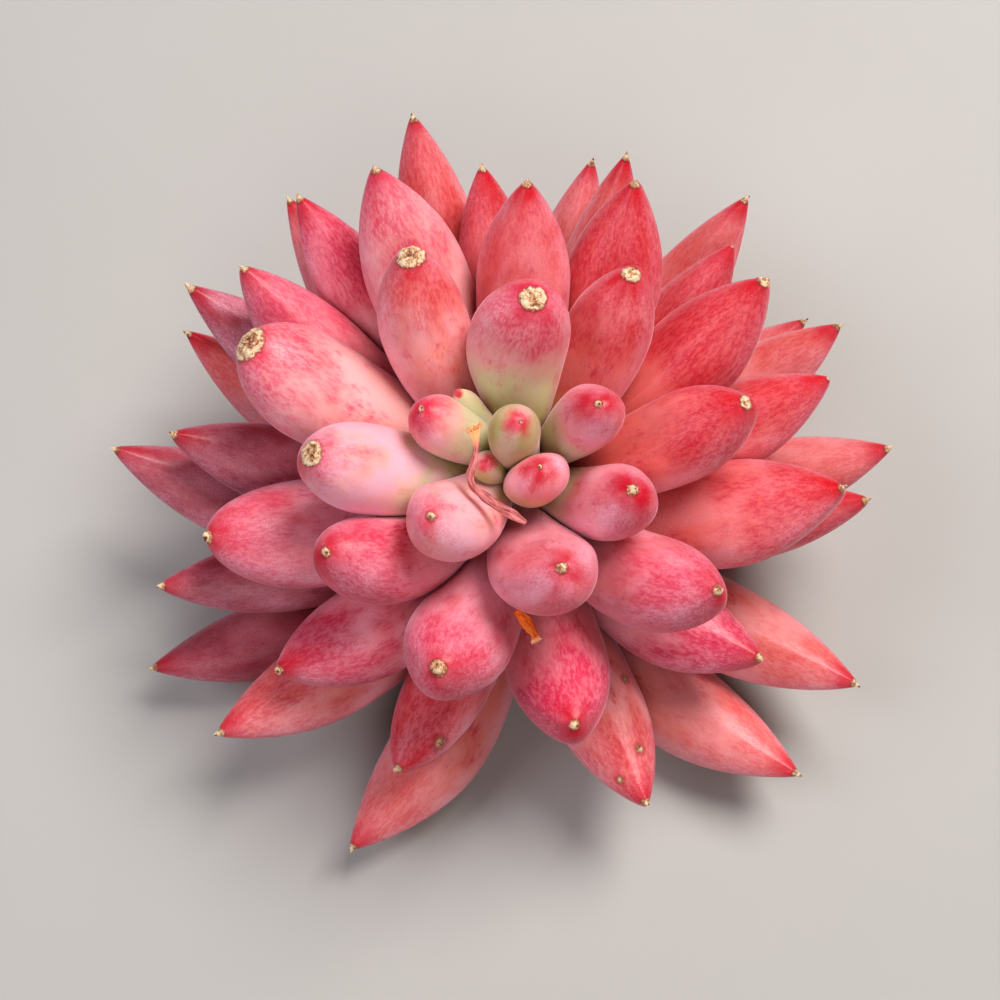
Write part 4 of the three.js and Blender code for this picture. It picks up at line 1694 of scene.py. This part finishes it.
@dataclass(frozen=True)
class Strand:
    """A dry strip along pixels of the photograph at given heights.

    Args:
        name: The piece's name.
        node: The CAD node that it stands for.
        slot: The record's material slot; not used.
        path: Pixel, height and half-width of each point of its middle line, the free end first.
        curl: The depth of the groove along it, in mm.
        lean: How far it is turned about its own line at each end, in degrees.
        teeth: How many frayed tips its free end has.
        tooth_length: Their length in mm.
        finish: Its material.
    """

    name: str
    node: str
    slot: str
    path: tuple[tuple[tuple[float, float], float, float], ...]
    curl: float
    lean: tuple[float, float]
    teeth: int
    tooth_length: float
    finish: DryFinish
    SIDES = 28
    STEPS = 90
    HALF_THICKNESS = 0.12
    TOOTH_STEPS = 9
    TOOTH_SIDES = 8
    TOOTH_RADIUS = 0.15
    TOOTH_TIP_RADIUS = 0.025
    TOOTH_FLATNESS = 0.6
    TOOTH_BEND = 0.22
    TOOTH_WAVE = 0.10
    # Where the frayed tips start across and along the end, and how they fan out
    FRINGE_SHARE = 0.9
    FRINGE_SINK = 0.3
    FAN = 0.8
    FAN_JITTER = 0.25
    FAN_RISE = (-0.3, 0.5)
    TOOTH_LENGTHS = (0.6, 1.2)
    GROOVE_POWER = 1.3
    GROOVE_WAVES = 7
    FIBRES_APART = 1.5
    # Size, waves along the strip and start of the raggedness of its edges
    RAGGED = ((0.07, 23, 0), (0.05, 51, 1))
    # Size, waves along the strip and waves across it of the wrinkles
    WRINKLES = ((0.05, 19, 5), (0.03, -31, 11))

    def middle_line(self) -> tuple[np.ndarray, np.ndarray]:
        """A smooth line through the path.

        Returns:
            Its points in mm, evenly placed, and its half-width at each.
        """
        stops = np.array([VIEW.point_at(pixel, height) for pixel, height, _ in self.path])
        halves = np.array([[half] for _, _, half in self.path])
        stops = np.concatenate([stops, halves], 1)
        steps = np.linalg.norm(np.diff(stops[:, :3], axis=0), axis=1)
        at = np.concatenate([[0], np.cumsum(steps)])
        fine = np.linspace(0, at[-1], self.STEPS)
        slopes = np.gradient(stops, at, axis=0)
        span = np.clip(np.searchsorted(at, fine, side="right") - 1, 0, len(at) - 2)
        long = (at[span + 1] - at[span])[:, None]
        t = (fine - at[span])[:, None] / long
        line = ((2 * t ** 3 - 3 * t ** 2 + 1) * stops[span]
                + (t ** 3 - 2 * t ** 2 + t) * long * slopes[span]
                + (-2 * t ** 3 + 3 * t ** 2) * stops[span + 1]
                + (t ** 3 - t ** 2) * long * slopes[span + 1])
        return line[:, :3], line[:, 3]

    def build(self) -> None:
        """Makes the strip and its frayed tips."""
        line, half = self.middle_line()
        way = np.gradient(line, axis=0)
        way = way / np.linalg.norm(way, axis=1)[:, None]
        side = np.cross(way, UP)
        side = side / np.linalg.norm(side, axis=1)[:, None]
        over = np.cross(side, way)
        share = np.linspace(0, 1, self.STEPS)
        turn = np.radians(self.lean[0] + (self.lean[1] - self.lean[0]) * share)
        aside = side * np.cos(turn)[:, None] + over * np.sin(turn)[:, None]
        upward = over * np.cos(turn)[:, None] - side * np.sin(turn)[:, None]
        angle = np.arange(self.SIDES) * 2 * math.pi / self.SIDES
        sine = np.sin(angle)[None, :]
        ragged = 1 + sum(size * np.sin(waves * share + start)[:, None]
                         for size, waves, start in self.RAGGED)
        wide = half[:, None] * sine * ragged
        fold = self.curl * (1 - np.abs(sine) ** self.GROOVE_POWER)
        fold = fold * np.cos(self.GROOVE_WAVES * share)[:, None]
        wrinkle = sum(size * np.sin(crossing * sine + waves * share[:, None])
                      for size, waves, crossing in self.WRINKLES)
        thin = self.HALF_THICKNESS * np.cos(angle)[None, :] - fold + wrinkle
        rings = (line[:, None, :] + wide[..., None] * aside[:, None, :]
                 + thin[..., None] * upward[:, None, :])
        run = np.concatenate([[0], np.cumsum(np.linalg.norm(np.diff(line, axis=0), axis=1))])
        run = run[:, None] * np.ones(wide.shape)
        local = np.stack([run, wide * self.FIBRES_APART, thin], 2)
        skein = Skein()
        skein.add_tube(rings, **{LOCAL: local, FROM_POINT: run})
        dice = np.random.default_rng(len(self.name))
        for tooth in range(self.teeth):
            spread = (tooth + 0.5) / self.teeth * 2 - 1
            root = (line[0] + aside[0] * spread * half[0] * self.FRINGE_SHARE
                    + way[0] * self.FRINGE_SINK)
            fan = spread * self.FAN + dice.uniform(-self.FAN_JITTER, self.FAN_JITTER)
            heading = -way[0] + aside[0] * fan + upward[0] * dice.uniform(*self.FAN_RISE)
            self.add_tooth(skein, tooth, root, heading / np.linalg.norm(heading), upward[0],
                           self.tooth_length * dice.uniform(*self.TOOTH_LENGTHS))
        skein.piece(self.name, self.finish.material(self.name + "_tissue"), [self.node])

    def add_tooth(self, skein: Skein, number: int, root: np.ndarray, heading: np.ndarray,
                  upward: np.ndarray, length: float) -> None:
        """Adds one frayed tip.

        Args:
            skein: The piece that it joins.
            number: Which one.
            root: Where it starts.
            heading: The way it points.
            upward: The direction out of the strip.
            length: Its length in mm.
        """
        across = np.cross(heading, upward)
        across = across / np.linalg.norm(across)
        other = np.cross(across, heading)
        angle = np.arange(self.TOOTH_SIDES) * 2 * math.pi / self.TOOTH_SIDES
        rings, places = [], []
        for step in np.linspace(0, 1, self.TOOTH_STEPS):
            radius = self.TOOTH_RADIUS * (1 - step ** 1.7) + self.TOOTH_TIP_RADIUS
            bend = (upward * self.TOOTH_BEND * step ** 2
                    + across * self.TOOTH_WAVE * math.sin(4 * step + number))
            ring = root + heading * step * length + bend + radius * (
                np.cos(angle)[:, None] * across
                + self.TOOTH_FLATNESS * np.sin(angle)[:, None] * other)
            rings.append(ring)
            places.append(np.stack([np.full(len(angle), -step * length),
                                    np.cos(angle) * radius,
                                    np.sin(angle) * radius + number], 1))
        skein.add_tube(np.array(rings), **{
            LOCAL: np.array(places), FROM_POINT: np.zeros((self.TOOTH_STEPS, self.TOOTH_SIDES))})


FILAMENT = Strand(
    name="dry_filament_strip", node="dry_filament", slot="dry_filament",
    path=(((473.5, 427), 49.6, 1.15), ((475, 434), 49.1, 0.74), ((476, 446), 48.4, 0.46),
          ((474, 462), 47.6, 0.46), ((470, 476), 47.1, 0.50), ((472, 485), 46.9, 0.52),
          ((484, 496), 46.6, 0.60), ((500, 507), 46.4, 0.66), ((515, 516), 46.2, 0.58),
          ((526, 523), 46.0, 0.32)),
    curl=0.20, lean=(35.0, -20.0), teeth=18, tooth_length=0.80,
    finish=DryFinish(pale=0xDE8E8E, dark=0x8E3A38, end=0xFFC488, end_reach=3.0, glow=0.35))
FLAKE = Strand(
    name="dry_skin_flake", node="dry_flake", slot="dry_flake",
    path=(((536.5, 641), 37.8, 0.60), ((534, 634), 38.3, 0.50), ((529, 626), 38.9, 0.80),
          ((521, 616), 39.4, 0.62), ((515, 611), 39.6, 0.25)),
    curl=0.26, lean=(-10.0, 15.0), teeth=8, tooth_length=0.55,
    finish=DryFinish(pale=0xFA8A34, dark=0xC84A10, end=0xE6B48C, end_reach=0.6, glow=0.35))


# The studio

@dataclass(frozen=True)
class Lamp:
    """A soft lamp.

    Args:
        name: Its name.
        place: Where it hangs, in metres.
        size: Its side in metres.
        watts: Its power.
        tint: Its colour.
    """

    name: str
    place: tuple[float, float, float]
    size: float
    watts: float
    tint: int = 0xFFFFFF
    AIM_HEIGHT = 0.03

    def hang(self) -> None:
        """Hangs the lamp, turned to the rosette."""
        data = bpy.data.lights.new(self.name, "AREA")
        data.shape = "DISK"
        data.size = self.size
        data.energy = self.watts
        data.color = paint(self.tint)[:3]
        made = bpy.data.objects.new(self.name, data)
        made.location = self.place
        aim = Vector((0, 0, self.AIM_HEIGHT)) - Vector(self.place)
        made.rotation_mode = "QUATERNION"
        made.rotation_quaternion = aim.to_track_quat("-Z", "Y")
        bpy.context.scene.collection.objects.link(made)


@dataclass(frozen=True)
class Studio:
    """A pale floor, soft lamps and an even sky."""

    lamps: tuple[Lamp, ...] = (
        Lamp("window", (0.28, 0.28, 0.64), 0.42, 5.3, 0xFFFAF6),
        Lamp("side", (-0.50, -0.04, 0.52), 0.40, 1.5, 0xF4F4FF),
        Lamp("front", (0.06, -0.54, 0.54), 0.44, 1.3),
    )
    floor_half: float = 1.6
    floor_tint: int = 0xBCBAB7
    floor_cloud: int = 0xB8B6B2
    sky_tint: int = 0xE4E6EA
    sky_strength: float = 0.055

    def build(self) -> None:
        """Sets up the floor, the lamps, the sky and the colours' rendering."""
        self.floor()
        for lamp in self.lamps:
            lamp.hang()
        world = bpy.data.worlds.new("even_sky")
        world.use_nodes = True
        sky = world.node_tree.nodes["Background"]
        sky.inputs["Color"].default_value = paint(self.sky_tint)
        sky.inputs["Strength"].default_value = self.sky_strength
        scene = bpy.context.scene
        scene.world = world
        scene.view_settings.view_transform = "Standard"
        scene.view_settings.look = "Medium High Contrast"
        scene.cycles.max_bounces = 5
        scene.cycles.diffuse_bounces = 3
        scene.cycles.glossy_bounces = 1
        scene.cycles.adaptive_threshold = 0.04

    def floor(self) -> None:
        """Makes the floor."""
        half = self.floor_half
        mesh = bpy.data.meshes.new("floor")
        mesh.from_pydata([(-half, -half, 0), (half, -half, 0), (half, half, 0), (-half, half, 0)],
                         [], [(0, 1, 2, 3)])
        made, w, shader = new_material("pale_floor")
        where = w.node("TexCoord").outputs["Object"]
        cloud = w.noise(where, 6.0, 3.0)
        w.feed(shader.inputs["Base Color"],
               w.mix(w.band(cloud, 0.3, 0.7), paint(self.floor_tint), paint(self.floor_cloud)))
        settle(shader, {"Roughness": 0.9})
        mesh.materials.append(made)
        floor = bpy.data.objects.new("floor", mesh)
        bpy.context.scene.collection.objects.link(floor)


def main() -> None:
    """Builds the studio and every piece."""
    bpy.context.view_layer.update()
    VIEW.camera()
    Studio().build()
    Rosette().build()
    Stem().build()
    FILAMENT.build()
    FLAKE.build()


if __name__ == "__main__":
    main()
